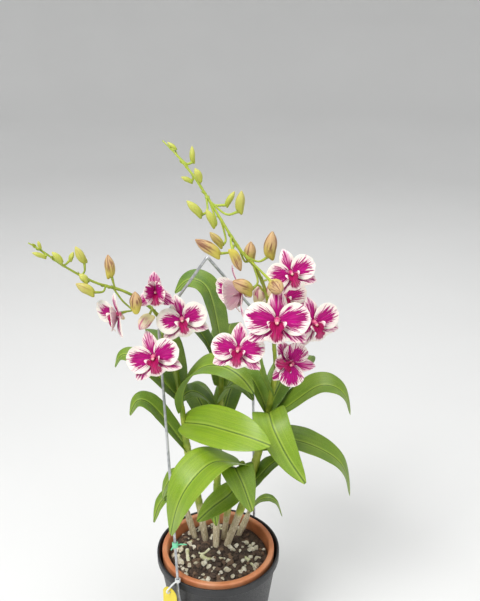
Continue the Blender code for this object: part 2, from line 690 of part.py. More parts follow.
def spray(name, side):
    """A flower stalk, seated on the top of its cane, with its buds and the stems of its blooms."""
    below, top = cane_path(CANES["cane_tall_" + side])[-2:]
    along = (top - below).normalized()
    stalk = [top + along * STALK_COLLAR] + [mm(point) for point in STALKS[side]]
    shares = even(STALK_SPANS)
    radii = [0.0019 - 0.0012 * share**1.2 for share in shares]
    green = finish_of("stalk_green", (0.36, 0.50, 0.06), 0.5)
    path = [top + along * JOINT_GAP, *smooth_path(stalk, shares)]
    stem = tube(name, path, [radii[0], *radii], 5, green)
    parts = [bud_on_stem(smooth_path(stalk, [bud.share])[0], bud) for bud in BUDS[side]]
    for bloom in BLOOMS.values():
        if bloom.stalk == side:
            parts.append(bloom_stem(smooth_path(stalk, [bloom.share])[0], bloom))
    return combine(stem, parts, "UNION")


def leg_points(leg):
    """The wire from its hook inside the cover pot to the top of the straight leg above the rim."""
    out = leg_direction(leg)
    wall = cover_radius(HOOK_Z)
    inside = wall - COVER_WALL - WIRE_RADIUS - 0.0007
    past_lip = COVER_LIP_RADIUS + WIRE_RADIUS + SEAT_GAP
    return [
        out * inside + up(HOOK_Z + HOOK_RISE),
        out * inside + up(HOOK_Z + 0.002),
        out * (inside + 0.0015) + up(HOOK_Z),
        out * (wall + 0.002) + up(HOOK_Z),
        out * (wall + 0.005) + up(HOOK_Z + 0.003),
        out * past_lip + up(COVER_HEIGHT - COVER_LIP_HEIGHT - 0.002),
        out * past_lip + up(LEG_TOP_Z),
    ]


def hanger_wire():
    """One bent wire: hooked through the cover pot on both sides and up to a peak over the leaves."""
    peak = mm(WIRE_PEAK)
    path = []
    for leg, shoulder in enumerate(WIRE_SHOULDERS):
        foot = leg_points(leg)
        corner = mm(shoulder)
        half = foot + [foot[-1].lerp(corner, 0.98), corner.lerp(peak, 0.04), corner.lerp(peak, 0.95)]
        path += half + [peak] if leg == 0 else half[::-1]
    steel = finish_of("galvanised_wire", (0.62, 0.63, 0.64), 0.35, 1.0)
    return tube("hanger_wire", path, [WIRE_RADIUS] * len(path), WIRE_SIDES, steel)


def wire_collar(name, middle, along, height, thickness, material):
    """A ring that sits loosely round the wire."""
    inner = WIRE_RADIUS + SEAT_GAP
    corners = [(inner, -height / 2), (inner + thickness, -height / 2)]
    corners += [(inner + thickness, height / 2), (inner, height / 2)]
    place = Matrix.Translation(middle) @ up(1).rotation_difference(along).to_matrix().to_4x4()
    return turned(name, [*corners, corners[0]], 10, material, place)


def tag_place():
    """The middle of the tag's hole, the way out from the pot and the way along the tag's width."""
    out = leg_direction(0)
    aside = out.cross(up(1))
    top = leg_points(0)[-1] * Vector((1, 1, 0))
    return top + out * TAG_REACH + aside * TAG_ASIDE + up(TAG_TOP_Z - 0.005), out, aside


def tag():
    """A blank plant tag with a rounded top and a round hole."""
    hole, out, aside = tag_place()
    half = TAG_WIDTH / 2
    turns = [math.radians(turn) for turn in range(0, 181, 30)]
    rounding = [(half * math.cos(turn), half * math.sin(turn)) for turn in turns]
    low = half + 0.002 - TAG_HEIGHT
    outline = [*rounding, (-half, low), (half, low)]
    shape = bmesh.new()
    rims = []
    for face in (-0.5, 0.5):
        middle = hole - up(half - 0.005) + out * TAG_THICKNESS * face
        rims.append([shape.verts.new(middle + aside * x + up(y)) for x, y in outline])
        shape.faces.new(rims[-1])
    for k in range(len(outline)):
        n = (k + 1) % len(outline)
        shape.faces.new((rims[0][k], rims[0][n], rims[1][n], rims[1][k]))
    yellow = finish_of("tag_yellow", (0.85, 0.72, 0.08), 0.45)
    plate = object_of("plant_tag", shape, yellow)
    punch = tube("punch", [hole - out * 0.003, hole + out * 0.003], [TAG_HOLE_RADIUS] * 2, 8)
    return combine(plate, [punch], "DIFFERENCE")


def tag_strap():
    """A strap looped round the wire that passes through the tag's hole and ends in a bead."""
    hole, out, aside = tag_place()
    wire = leg_points(0)[-1] * Vector((1, 1, 0)) + up(LEG_TOP_Z - 0.0045)
    white = finish_of("strap_white", (0.85, 0.85, 0.83), 0.5)
    loop = wire_collar("tag_strap", wire, up(1), 0.0034, 0.0011, white)
    path = [
        wire + out * 0.0022,
        wire + out * 0.0062 + aside * 0.001 - up(0.001),
        hole + out * 0.0042 + up(0.004),
        hole + out * 0.0024,
        hole - out * 0.0012,
        hole - out * 0.0018,
        hole - out * 0.0030,
    ]
    radii = [0.0009, 0.0009, 0.0009, 0.0009, 0.0009, 0.0024, 0.0022]
    return combine(loop, [tube("tail", path, radii, 6)], "UNION")


def green_tie():
    """A small clip round the front leg with two thin tails."""
    foot, corner = leg_points(0)[-1], mm(WIRE_SHOULDERS[0])
    along = (corner - foot).normalized()
    middle = foot + along * 0.034
    mint = finish_of("tie_green", (0.25, 0.75, 0.42), 0.45)
    ring = wire_collar("green_tie", middle, along, 0.005, 0.0013, mint)
    tails = []
    for reach in ((0.011, 0.004, -0.003), (-0.004, -0.003, -0.004)):
        way = Vector(reach)
        start = middle + way.normalized() * 0.0024
        tails.append(tube("tail", [start, middle + way], [0.0008, 0.0006], 5))
    return combine(ring, tails, "UNION")


def build():
    clear_scene()
    cover_pot()
    grow_pot()
    potting_mix()
    for name, cane in CANES.items():
        leafy_cane(name, cane)
    for side in STALKS:
        spray("spray_" + side, side)
    for name, bloom in BLOOMS.items():
        flower(name, bloom)
    hanger_wire()
    tag_strap()
    tag()
    green_tie()


build()
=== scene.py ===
"""Looks of a dendrobium orchid in its grow pot and cover pot, with a wire hanger, a tag and a tie.

Metres, +Z up. The origin is the middle of the cover pot's flat base, and the flowers face -Y.
Routes of leaves, stalks and flowers are written in millimetres and turned into metres by mm().
"""

import math
import random
from collections import namedtuple

import bmesh
import bpy
from mathutils import Matrix, Vector
from mathutils.noise import noise


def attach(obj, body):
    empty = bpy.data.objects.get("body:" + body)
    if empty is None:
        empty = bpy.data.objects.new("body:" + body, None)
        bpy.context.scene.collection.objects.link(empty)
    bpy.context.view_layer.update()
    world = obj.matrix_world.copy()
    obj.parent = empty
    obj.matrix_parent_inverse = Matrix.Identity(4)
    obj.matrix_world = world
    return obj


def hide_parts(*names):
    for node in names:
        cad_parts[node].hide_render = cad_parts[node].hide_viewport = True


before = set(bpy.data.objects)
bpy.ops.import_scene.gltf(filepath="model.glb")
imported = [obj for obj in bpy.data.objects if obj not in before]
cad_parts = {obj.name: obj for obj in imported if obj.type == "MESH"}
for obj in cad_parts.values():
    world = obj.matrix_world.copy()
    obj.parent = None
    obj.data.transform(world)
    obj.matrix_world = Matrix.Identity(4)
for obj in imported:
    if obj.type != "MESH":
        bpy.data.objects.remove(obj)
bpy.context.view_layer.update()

# Pots and mix
COVER_HEIGHT = 0.122
COVER_BASE_RADIUS = 0.047
COVER_NECK_RADIUS = 0.0625
COVER_LIP_RADIUS = 0.0655
COVER_LIP_HEIGHT = 0.009
COVER_WALL = 0.0022
COVER_FLOOR = 0.0026
SEAT_GAP = 0.0003
GROW_BASE_Z = COVER_FLOOR + SEAT_GAP
GROW_RIM_Z = 0.1245
GROW_BASE_RADIUS = 0.0405
GROW_NECK_RADIUS = 0.0555
GROW_COLLAR_RADIUS = 0.0600
GROW_COLLAR_HEIGHT = 0.013
GROW_WALL = 0.0014
GROW_FLOOR = 0.0020
MIX_TOP = 0.112
MIX_EDGE_GAP = 0.0009
MIX_RELIEF = 0.0014
MIX_SHOULDER = 0.005
FINES_DEPTH = 0.0006
FOOT_CLEARANCE = 0.0038
POT_SEGMENTS = 96
DRAIN_HOLE_RADIUS = 0.0045
DRAIN_HOLE_RING = 0.024

# Plant
CANE_DEPTH = 0.022
CANE_SPANS = 9
STEM_RADIUS = 0.0009
JOINT_GAP = 0.0003
STALK_COLLAR = 0.004
STALK_FOOT = 0.0019
STALK_TAPER = 0.0013
NODE_SWELLING = 0.00035
LEAF_SKIN = 0.0008
LEAF_WAVE = 0.0007
PETAL_SKIN = 0.0005 / 0.0235
CLAW_SETBACK = 0.14
SEPAL_SHARE = 0.3
SEPAL_TURNS = ((90, 1.0), (-35, 1.07), (-145, 1.07))
PETAL_TURNS = (10, 170)
TEPAL_LIFT = 0.035
OVARY_END = (0, 0.07, -0.36)

# Wire and tag
WIRE_RADIUS = 0.0014
WIRE_HOLE_RADIUS = 0.0023
HOOK_Z = 0.078
HOOK_RISE = 0.006
LEG_ANGLE = 234
LEG_TOP_Z = 0.130
WIRE_PEAK = (-7, 10, 448)
WIRE_SHOULDERS = ((-55, 8, 380), (36, 48, 380))
TAG_WIDTH = 0.018
TAG_HEIGHT = 0.046
TAG_THICKNESS = 0.0009
TAG_TOP_Z = 0.119
TAG_HOLE_RADIUS = 0.0017
TAG_HOLE_DROP = 0.005
TAG_REACH = 0.0075
TAG_ASIDE = 0.0045

# Leaves of each cane: the points of the midrib, the width, the turn in degrees and the painted shade,
# from 0 for a bright leaf in full light to 1 for a dark leaf in shade
Leaf = namedtuple("Leaf", "midrib width turn age")
TALL_LEFT_LEAVES = (
    Leaf([(-33, 0, 276), (-10, -30, 292), (14, -55, 300), (34, -68, 301), (51, -74, 297)], 38, 42, 0.0),
    Leaf(
        [(-33, 0, 290), (-31, -5, 318), (-15, -14, 344), (6, -30, 355), (24, -42, 350), (36, -48, 336)],
        30, 15, 0.45,
    ),
    Leaf([(-35, 0, 300), (-57, 20, 314), (-78, 26, 333), (-95, 28, 338), (-103, 28, 324)], 24, 0, 0.5),
    Leaf([(-30, 3, 241), (-54, 14, 271), (-69, 18, 288), (-81, 18, 291), (-89, 16, 275)], 26, 0, 0.6),
    Leaf([(-25, 9, 202), (-42, 0, 214), (-52, -4, 204), (-57, -5, 187)], 19, 0, 0.5),
    Leaf([(-36, 0, 312), (-50, 28, 345), (-62, 58, 352), (-70, 84, 332)], 30, 0, 0.8),
)
TALL_BACK_LEAVES = (
    Leaf([(5, 33, 333), (-3, 42, 381), (-12, 48, 405), (-28, 50, 410), (-42, 50, 396)], 32, 0, 0.85),
    Leaf([(4, 32, 312), (-12, 36, 350), (-30, 38, 372), (-46, 40, 374), (-56, 40, 360)], 28, 0, 0.8),
    Leaf([(2, 28, 262), (-12, 27, 288), (-27, 22, 299), (-40, 18, 288)], 26, 0, 0.7),
    Leaf([(3, 29, 283), (16, 24, 305), (28, 18, 306), (37, 13, 294)], 24, 0, 0.7),
    Leaf([(4, 31, 300), (8, 62, 335), (12, 90, 345), (14, 112, 325)], 30, 0, 0.8),
    Leaf([(0, 25, 236), (-20, 55, 270), (-35, 80, 275), (-45, 98, 255)], 30, 0, 0.8),
    Leaf([(1, 27, 250), (12, 55, 280), (19, 82, 281), (24, 102, 258)], 28, 0, 0.8),
)
TALL_RIGHT_LEAVES = (
    Leaf([(50, -8, 286), (51, -25, 302), (55, -43, 295), (68, -57, 273), (85, -63, 248)], 31, 0, 0.12),
    Leaf([(49, -8, 280), (80, -12, 309), (102, -12, 325), (122, -13, 318), (131, -15, 294)], 36, 8, 0.4),
    Leaf([(44, -5, 251), (70, -6, 260), (100, -6, 251), (127, -6, 230), (137, -7, 193)], 34, 12, 0.5),
    Leaf([(54, -10, 312), (42, -8, 340), (37, -14, 368), (36, -24, 386)], 26, 0, 0.45),
    Leaf([(50, -8, 292), (36, 2, 322), (22, 5, 328), (11, 6, 314)], 26, 0, 0.6),
    Leaf([(46, -6, 262), (60, 6, 285), (71, 11, 298), (79, 12, 291)], 22, 0, 0.6),
    Leaf([(51, -8, 296), (70, 22, 322), (88, 48, 328), (100, 68, 308)], 30, 0, 0.8),
    Leaf([(30, -1, 192), (42, -8, 215), (56, -10, 234), (70, -6, 240)], 26, 20, 0.5),
)
SHORT_FRONT_LEAVES = (
    Leaf([(26, -34, 249), (0, -62, 272), (-20, -80, 264), (-33, -88, 243), (-41, -86, 207)], 42, 0, 0.05),
    Leaf([(23, -28, 240), (19, -48, 255), (26, -59, 244), (35, -63, 216)], 32, 0, 0.25),
    Leaf([(18, -15, 209), (12, -32, 212), (-4, -42, 205), (-19, -47, 192)], 23, -25, 0.2),
    Leaf([(8, 8, 162), (1, -4, 182), (-3, -14, 183), (-1, -20, 165)], 16, 0, 0.4),
)
SHORT_LEFT_LEAVES = (Leaf([(-35, 22, 160), (-48, 8, 184), (-60, -2, 180), (-67, -8, 160)], 17, 0, 0.4),)
SHORT_RIGHT_LEAVES = (Leaf([(33, 37, 138), (48, 34, 158), (62, 33, 156), (70, 32, 137)], 14, 0, 0.5),)

# Canes: the points of the axis from the surface of the mix up, the radii and the number of joints
Cane = namedtuple("Cane", "axis foot belly top joints leaves")
# The leaf carries its painted shade as a number that its material reads.
CANES = {
    "cane_tall_left": Cane(
        [(-15, 24, 112), (-22, 14, 180), (-30, 3, 240), (-34, 0, 290), (-39, 0, 338)],
        3.6, 4.6, 2.4, 9, TALL_LEFT_LEAVES,
    ),
    "cane_tall_back": Cane(
        [(-3, 13, 112), (-1, 20, 190), (3, 28, 270), (5, 33, 338)],
        3.6, 4.4, 2.4, 9, TALL_BACK_LEAVES,
    ),
    "cane_tall_right": Cane(
        [(9, 15, 112), (28, 2, 183), (43, -5, 250), (52, -10, 302), (57, -12, 335)],
        3.8, 4.8, 2.6, 9, TALL_RIGHT_LEAVES,
    ),
    "cane_short_front": Cane(
        [(5, 25, 112), (11, 4, 170), (19, -18, 218), (26, -34, 252)],
        3.0, 3.8, 2.6, 7, SHORT_FRONT_LEAVES,
    ),
    "cane_short_left": Cane(
        [(-27, 28, 112), (-33, 26, 140), (-37, 22, 166)], 3.2, 4.2, 2.0, 4, SHORT_LEFT_LEAVES
    ),
    "cane_short_right": Cane(
        [(22, 32, 112), (30, 36, 130), (35, 38, 144)], 3.2, 4.0, 2.0, 3, SHORT_RIGHT_LEAVES
    ),
}

# Flower stalks, from just above the top of their tall cane to the tip
STALKS = {
    "right": [
        (55, -24, 372), (50, -40, 411), (46, -44, 434), (36, -48, 459),
        (23, -46, 474), (6, -39, 500), (-11, -30, 526), (-28, -22, 547), (-42, -15, 560),
    ],
    "left": [
        (-44, 1, 364), (-52, 0, 388), (-63, -3, 405), (-83, -9, 421),
        (-108, -17, 433), (-132, -25, 451), (-149, -32, 468), (-159, -35, 476),
    ],
}

# Buds: the base and the tip, the breadth, the share of the stalk at which the stem leaves it, and the
# ripeness, from 0 for green, through 0.6 for beige with a purple flush, to 1 for cream and pink
Bud = namedtuple("Bud", "base tip breadth share ripe")
BUDS = {
    "right": (
        Bud((-30, -20, 554), (-38, -17, 559), 3.6, 0.94, 0.0),
        Bud((-17, -20, 542), (-17, -17, 556), 5.0, 0.90, 0.0),
        Bud((-9, -34, 530), (-14, -36, 541), 6.6, 0.84, 0.0),
        Bud((-17, -24, 527), (-27, -20, 530), 4.6, 0.86, 0.0),
        Bud((-8, -44, 503), (-21, -46, 516), 7.6, 0.74, 0.1),
        Bud((3, -45, 494), (-5, -47, 509), 7.0, 0.72, 0.1),
        Bud((11, -32, 508), (19, -30, 520), 5.6, 0.77, 0.05),
        Bud((22, -42, 505), (25, -44, 524), 8.4, 0.72, 0.25),
        Bud((9, -46, 477), (-2, -50, 490), 7.4, 0.66, 0.35),
        Bud((7, -56, 473), (-14, -58, 486), 11.0, 0.58, 0.6),
        Bud((17, -58, 478), (24, -60, 459), 9.0, 0.60, 0.5),
        Bud((31, -38, 460), (33, -37, 478), 11.0, 0.56, 0.6),
        Bud((47, -48, 467), (51, -50, 491), 12.0, 0.51, 0.65),
        Bud((34, -62, 443), (17, -66, 452), 13.0, 0.46, 0.65),
        Bud((49, -83, 458), (56, -98, 455), 13.0, 0.47, 0.75),
        Bud((41, -38, 423), (40, -40, 439), 12.0, 0.28, 1.0),
        Bud((50, -46, 430), (50, -46, 444), 8.0, 0.38, 1.0),
    ),
    "left": (
        Bud((-149, -35, 471), (-150, -36, 478), 3.4, 0.92, 0.0),
        Bud((-145, -34, 463), (-156, -38, 468), 4.6, 0.88, 0.0),
        Bud((-132, -30, 457), (-140, -33, 467), 6.0, 0.80, 0.0),
        Bud((-128, -22, 455), (-124, -20, 463), 4.6, 0.76, 0.05),
        Bud((-115, -20, 452), (-122, -20, 468), 8.2, 0.68, 0.25),
        Bud((-112, -26, 437), (-119, -28, 445), 7.0, 0.66, 0.2),
        Bud((-106, -30, 428), (-122, -32, 437), 9.6, 0.58, 0.3),
        Bud((-93, -12, 436), (-96, -10, 457), 10.0, 0.54, 0.5),
        Bud((-69, -36, 413), (-69, -38, 432), 11.5, 0.44, 0.6),
        Bud((-59, -20, 403), (-69, -24, 389), 12.5, 0.36, 1.0),
    ),
}

# Blooms: the centre, the way each faces, its roll anticlockwise in degrees, the petal length, how far it
# is shut in degrees, the share of the stalk at which its stem leaves it, and how full its flame is
Bloom = namedtuple("Bloom", "stalk centre facing roll length shut share flush")
BLOOMS = {
    "flower_right_front": Bloom("right", (54, -88, 426), (-0.08, -1.0, 0.22), 0, 27.5, 6, 0.30, 1.0),
    "flower_right_top": Bloom("right", (66, -62, 458), (0.10, -1.0, 0.30), 18, 21.5, 8, 0.38, 0.92),
    "flower_right_outer": Bloom("right", (87, -58, 411), (0.40, -1.0, 0.18), 14, 24.0, 8, 0.22, 0.95),
    "flower_right_low": Bloom("right", (68, -67, 377), (-0.02, -1.0, 0.05), -98, 21.5, 10, 0.16, 1.15),
    "flower_right_inner": Bloom("right", (22, -74, 393), (-0.12, -1.0, 0.34), -3, 23.5, 9, 0.20, 1.0),
    "flower_right_side": Bloom("right", (25, -48, 436), (-0.93, -0.20, -0.12), 8, 26.0, 46, 0.33, 1.0),
    "flower_right_behind": Bloom("right", (64, -22, 420), (-0.05, -1.0, 0.20), 20, 21.0, 10, 0.10, 0.9),
    "flower_left_small": Bloom("left", (-53, -20, 425), (0.05, -1.0, 0.30), 2, 19.5, 62, 0.42, 1.18),
    "flower_left_right": Bloom("left", (-30, -14, 395), (0.02, -1.0, 0.30), 15, 24.0, 8, 0.30, 0.85),
    "flower_left_low": Bloom("left", (-56, -28, 363), (-0.12, -1.0, 0.30), 19, 25.8, 8, 0.20, 0.98),
    "flower_left_side": Bloom("left", (-88, -24, 404), (-0.86, -0.50, 0.02), -4, 22.5, 34, 0.55, 0.85),
}

def mm(values):
    """A point given in millimetres, in metres."""
    return Vector(values) / 1000


def up(height):
    return Vector((0, 0, height))


def axes(x, y, z):
    """The turn that brings the three axes to these directions."""
    return Matrix((x, y, z)).transposed()


# Curves and outlines of the plant


def even(spans):
    """Shares of a path from 0 to 1 in equal steps."""
    return [k / spans for k in range(spans + 1)]


def closer_at_tip(spans):
    """Shares of a path from 0 to 1 with shorter steps towards 1."""
    return [1 - (1 - share) ** 1.4 for share in even(spans)]


def smooth_path(points, shares):
    """Places at the given shares of a smooth curve through the points."""
    points = [Vector(point) for point in points]
    ends = [2 * points[0] - points[1], *points, 2 * points[-1] - points[-2]]
    path = []
    for share in shares:
        place = share * (len(points) - 1)
        k = min(int(place), len(points) - 2)
        t = place - k
        a, b, c, d = ends[k : k + 4]
        curve = 2 * b + (c - a) * t + (2 * a - 5 * b + 4 * c - d) * t**2 + (3 * b - a - 3 * c + d) * t**3
        path.append(curve / 2)
    return path


def frames_along(path, facing):
    """(tangent, normal) at each point: the normal starts towards facing and is carried on untwisted."""
    frames = []
    normal = Vector(facing)
    for k in range(len(path)):
        tangent = (path[min(k + 1, len(path) - 1)] - path[max(k - 1, 0)]).normalized()
        normal = (normal - tangent * normal.dot(tangent)).normalized()
        frames.append((tangent, normal.copy()))
    return frames


def rounded(path, reach):
    """The path with each corner replaced by a short bend."""
    bent = [path[0]]
    for before, corner, after in zip(path, path[1:], path[2:]):
        inward = (before - corner) * min(0.45, reach / (before - corner).length)
        outward = (after - corner) * min(0.45, reach / (after - corner).length)
        for t in (0.0, 0.25, 0.5, 0.75, 1.0):
            bent.append(corner + inward * (1 - t) ** 2 + outward * t**2)
    return [*bent, path[-1]]


def hump(t, start, end, skew, fullness):
    """Rises from near 0 and falls back, its top moved by skew and its flanks filled by fullness."""
    return math.sin(math.pi * (start + (end - start) * t) ** skew) ** fullness


def leaf_outline(t):
    """Clasping base, broadest before the middle, acute tip."""
    return 0.26 * (1 - t) ** 3 + 0.035 + hump(t, 0.02, 0.995, 0.86, 0.72)


def petal_outline(t):
    """Broad and round, on a narrow claw."""
    return 0.20 * (1 - t) + hump(t, 0.04, 0.97, 1.18, 0.62)


def sepal_outline(t):
    """Egg-shaped, with a pointed tip."""
    return 0.26 * (1 - t) ** 2 + 0.03 + 0.95 * hump(t, 0.03, 0.99, 0.92, 0.80)


def lip_outline(t):
    """Side lobes, a waist, then the round middle lobe."""
    side_lobes = 0.80 * math.exp(-(((t - 0.26) / 0.16) ** 2))
    middle_lobe = 1.14 * math.exp(-(((t - 0.76) / 0.20) ** 2))
    return 0.10 + max(side_lobes, middle_lobe) * (1 - 0.5 * t**8)


# Modelling by hand: primitives, edit mode and modifiers


def deselect():
    bpy.ops.object.select_all(action="DESELECT")


def enter(obj):
    """Opens one object in edit mode with nothing selected."""
    deselect()
    bpy.context.view_layer.objects.active = obj
    obj.select_set(True)
    bpy.ops.object.mode_set(mode="EDIT")
    bpy.ops.mesh.select_mode(type="VERT")
    bpy.ops.mesh.select_all(action="DESELECT")


def leave():
    bpy.ops.object.mode_set(mode="OBJECT")


def pick(obj, rule):
    """Selects the corners that the rule holds for."""
    shape = bmesh.from_edit_mesh(obj.data)
    for corner in shape.verts:
        corner.select = rule(corner)
    shape.select_flush_mode()
    bmesh.update_edit_mesh(obj.data, loop_triangles=False, destructive=False)


def move(x=0.0, y=0.0, z=0.0):
    bpy.ops.transform.translate(value=(x, y, z), orient_type="GLOBAL")


def turn(angle, axis, centre):
    """Turns the selection anticlockwise about a global axis."""
    bpy.ops.transform.rotate(value=-angle, orient_axis=axis, orient_type="GLOBAL", center_override=centre)


def stretch(x, y, z, centre):
    bpy.ops.transform.resize(value=(x, y, z), orient_type="GLOBAL", center_override=centre)


def finish_mesh(obj, *steps):
    """Adds each modifier (its kind and its settings) and applies it."""
    deselect()
    bpy.context.view_layer.objects.active = obj
    obj.select_set(True)
    for kind, settings in steps:
        modifier = obj.modifiers.new(kind.lower(), kind)
        for key, value in settings.items():
            setattr(modifier, key, value)
        bpy.ops.object.modifier_apply(modifier=modifier.name)
    bpy.ops.object.shade_smooth_by_angle(angle=math.radians(40))
    return obj


def rounding(levels):
    return "SUBSURF", {"levels": levels, "render_levels": levels}


def skin(thickness, back=0):
    """Gives a sheet its thickness, half to each side, its back in the material of that number."""
    return "SOLIDIFY", {"thickness": thickness, "offset": 0.0, "material_offset": back}


def soft_edges(width, segments=3, angle=math.radians(30)):
    return "BEVEL", {"width": width, "segments": segments, "limit_method": "ANGLE", "angle_limit": angle}


def combined(operation, cutter):
    return "BOOLEAN", {"operation": operation, "object": cutter, "solver": "EXACT"}


def paint(obj, *materials):
    for material in materials:
        obj.data.materials.append(material)
    return obj


def mark(obj, **values):
    """Gives every corner of a piece the same named numbers, which its material reads."""
    for label, value in values.items():
        layer = obj.data.attributes.get(label) or obj.data.attributes.new(label, "FLOAT", "POINT")
        layer.data.foreach_set("value", [value] * len(obj.data.vertices))
    return obj


def copy_of(pattern, name, place):
    """A copy with its own mesh, moved to its place."""
    obj = pattern.copy()
    obj.data = pattern.data.copy()
    obj.name = name
    bpy.context.scene.collection.objects.link(obj)
    obj.data.transform(place)
    return obj


def join(name, parts):
    """Makes one piece of several."""
    deselect()
    for obj in parts:
        obj.select_set(True)
    bpy.context.view_layer.objects.active = parts[0]
    bpy.ops.object.join()
    parts[0].name = name
    parts[0].data.name = name
    return parts[0]


def seat(obj, node):
    """The piece rides on the one body and stands for its node, which is hidden."""
    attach(obj, "root")
    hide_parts(node)
    return obj


def tube(name, path, radii, sides=12):
    """A round bar along a path, its radius given at each point, made from a curve with a round bevel."""
    deselect()
    bpy.ops.curve.primitive_bezier_curve_add(location=(0, 0, 0))
    obj = bpy.context.object
    curve = obj.data
    curve.splines.clear()
    line = curve.splines.new("POLY")
    line.points.add(len(path) - 1)
    for point, place, radius in zip(line.points, path, radii):
        point.co = (*place, 1)
        point.radius = radius / 0.001
    curve.dimensions = "3D"
    curve.bevel_depth = 0.001
    curve.bevel_resolution = sides // 2 - 2
    curve.use_fill_caps = True
    bpy.ops.object.convert(target="MESH")
    obj = bpy.context.object
    obj.name = name
    bpy.ops.object.shade_smooth_by_angle(angle=math.radians(50))
    return obj


def lathe(name, profile, segments=POT_SEGMENTS, closed=False):
    """A turned body: a circle is drawn out and widened from point to point of (radius, height)."""
    deselect()
    radius, height = profile[0]
    ends = "NOTHING" if closed else "NGON"
    bpy.ops.mesh.primitive_circle_add(
        vertices=segments, radius=radius, location=(0, 0, height), fill_type=ends
    )
    obj = bpy.context.object
    bpy.ops.object.transform_apply(location=True)
    enter(obj)
    bpy.ops.mesh.select_mode(type="EDGE")
    bpy.ops.mesh.select_all(action="SELECT")
    for (before, low), (after, high) in zip(profile, profile[1:]):
        bpy.ops.mesh.extrude_edges_move(TRANSFORM_OT_translate={"value": (0, 0, high - low)})
        stretch(after / before, after / before, 1, (0, 0, high))
    if not closed:
        bpy.ops.mesh.edge_face_add()
    bpy.ops.mesh.select_all(action="SELECT")
    bpy.ops.mesh.remove_doubles(threshold=0.00001)
    bpy.ops.mesh.normals_make_consistent(inside=False)
    leave()
    obj.name = name
    return obj


def flat_blade(name, columns, shares, length, width, outline, profile):
    """A flat leaf or petal along +Y with its face up: a grid whose rows get their width one by one.

    columns are the places across from -1 to 1. profile gives the lift at each, as a share of half the
    width. The UV map holds the flat place of each point, across and along.
    """
    rows = len(shares) - 1
    deselect()
    bpy.ops.mesh.primitive_grid_add(x_subdivisions=len(columns) - 1, y_subdivisions=rows, size=1)
    obj = bpy.context.object
    enter(obj)
    for column, across in enumerate(columns):
        pick(obj, lambda corner: corner.index % len(columns) == column)
        move(x=across / 2 + 0.5 - column / (len(columns) - 1), z=profile(across) / 2)
    for row, share in enumerate(shares):
        pick(obj, lambda corner: corner.index // len(columns) == row)
        broad = width * outline(share)
        stretch(broad, 1, broad, (0, 0, 0))
        move(y=share * length + 0.5 - row / rows)
    leave()
    places = obj.data.uv_layers[0]
    for loop in obj.data.loops:
        corner = obj.data.vertices[loop.vertex_index].co
        places.data[loop.index].uv = (corner.x, corner.y)
    obj.name = name
    return obj


def lay_rows(obj, columns, shares, length, path, frames, fold=None):
    """Carries each row of a flat blade to its place on a path, turned to the path's own direction."""
    enter(obj)
    for row, share in enumerate(shares):
        pick(obj, lambda corner: corner.index // columns == row)
        middle = Vector((0, share * length, 0))
        if fold:
            stretch(1, 1, fold(share), middle)
        tangent, normal = frames[row]
        swing = axes(tangent.cross(normal), tangent, normal).to_euler("XYZ")
        for angle, axis in zip(swing, "XYZ"):
            turn(angle, axis, middle)
        move(*(path[row] - middle))
    leave()


def wave_rim(obj, columns, draw, amount):
    """Lifts and lowers the corners along the rim by turns."""
    last = len(obj.data.vertices) // columns - 1
    enter(obj)
    for row in range(1, last + 1):
        for column in (0, columns - 1) if row < last else range(1, columns - 1, 2):
            side = 1 if (row + (column > columns // 2)) % 2 else -1
            pick(obj, lambda corner: corner.index == row * columns + column)
            move(z=side * amount * draw.uniform(0.4, 1.0))
    leave()


# Finishes

CREAM = (0.90, 0.86, 0.76)
WHITE_PINK = (0.86, 0.62, 0.72)
PALE_BACK = (0.86, 0.74, 0.72)
PINK = (0.82, 0.20, 0.50)
MAGENTA = (0.58, 0.0, 0.24)
DEEP_MAGENTA = (0.33, 0.0, 0.13)
CRIMSON = (0.56, 0.001, 0.14)
DEEP_CRIMSON = (0.26, 0.0, 0.055)
MAUVE = (0.45, 0.10, 0.28)


def add_node(tree, kind, values=None, **settings):
    """Adds a node. A value is a number, a colour or the Tone that feeds it."""
    node = tree.nodes.new("ShaderNode" + kind)
    for key, value in settings.items():
        setattr(node, key, value)
    for key, value in (values or {}).items():
        if isinstance(value, Tone):
            tree.links.new(value.socket, node.inputs[key])
        else:
            node.inputs[key].default_value = value
    return node


def put(tree, kind, values=None, out=0, **settings):
    """Adds a node and takes one of its outputs."""
    return Tone(add_node(tree, kind, values, **settings).outputs[out])


class Tone:
    """A value, place or colour in a node tree. Whatever is worked out from it adds a node."""

    def __init__(self, socket):
        self.socket = socket
        self.tree = socket.id_data

    def step(self, operation, *others):
        return put(self.tree, "Math", dict(enumerate((self, *others))), operation=operation)

    def __add__(self, other):
        return self.step("ADD", other)

    def __sub__(self, other):
        return self.step("SUBTRACT", other)

    def __mul__(self, other):
        return self.step("MULTIPLY", other)

    def __truediv__(self, other):
        return self.step("DIVIDE", other)

    def __pow__(self, other):
        return self.step("POWER", other)

    def ramp(self, low, high):
        """0 below low and 1 above high; the other way round where low is the larger."""
        values = {"Value": self, "From Min": low, "From Max": high}
        return put(self.tree, "MapRange", values, interpolation_type="SMOOTHSTEP")

    def blend(self, first, second):
        """Mixes two colours, with this as the share of the second."""
        pair = [colour if isinstance(colour, Tone) else (*colour, 1) for colour in (first, second)]
        values = {0: self, 6: pair[0], 7: pair[1]}
        return put(self.tree, "Mix", values, 2, data_type="RGBA", clamp_factor=True)

    def grain(self, scale, detail=2.0):
        """The value of a noise at this place."""
        return put(self.tree, "TexNoise", {"Vector": self, "Scale": scale, "Detail": detail}, "Fac")

    def drawn_out(self, x, y, z):
        """This place with its axes scaled, so that a noise there is drawn out along the smallest."""
        return put(self.tree, "Mapping", {"Vector": self, "Scale": (x, y, z)})

    def parts(self):
        """The three coordinates of a place."""
        return [Tone(socket) for socket in add_node(self.tree, "SeparateXYZ", {"Vector": self}).outputs]


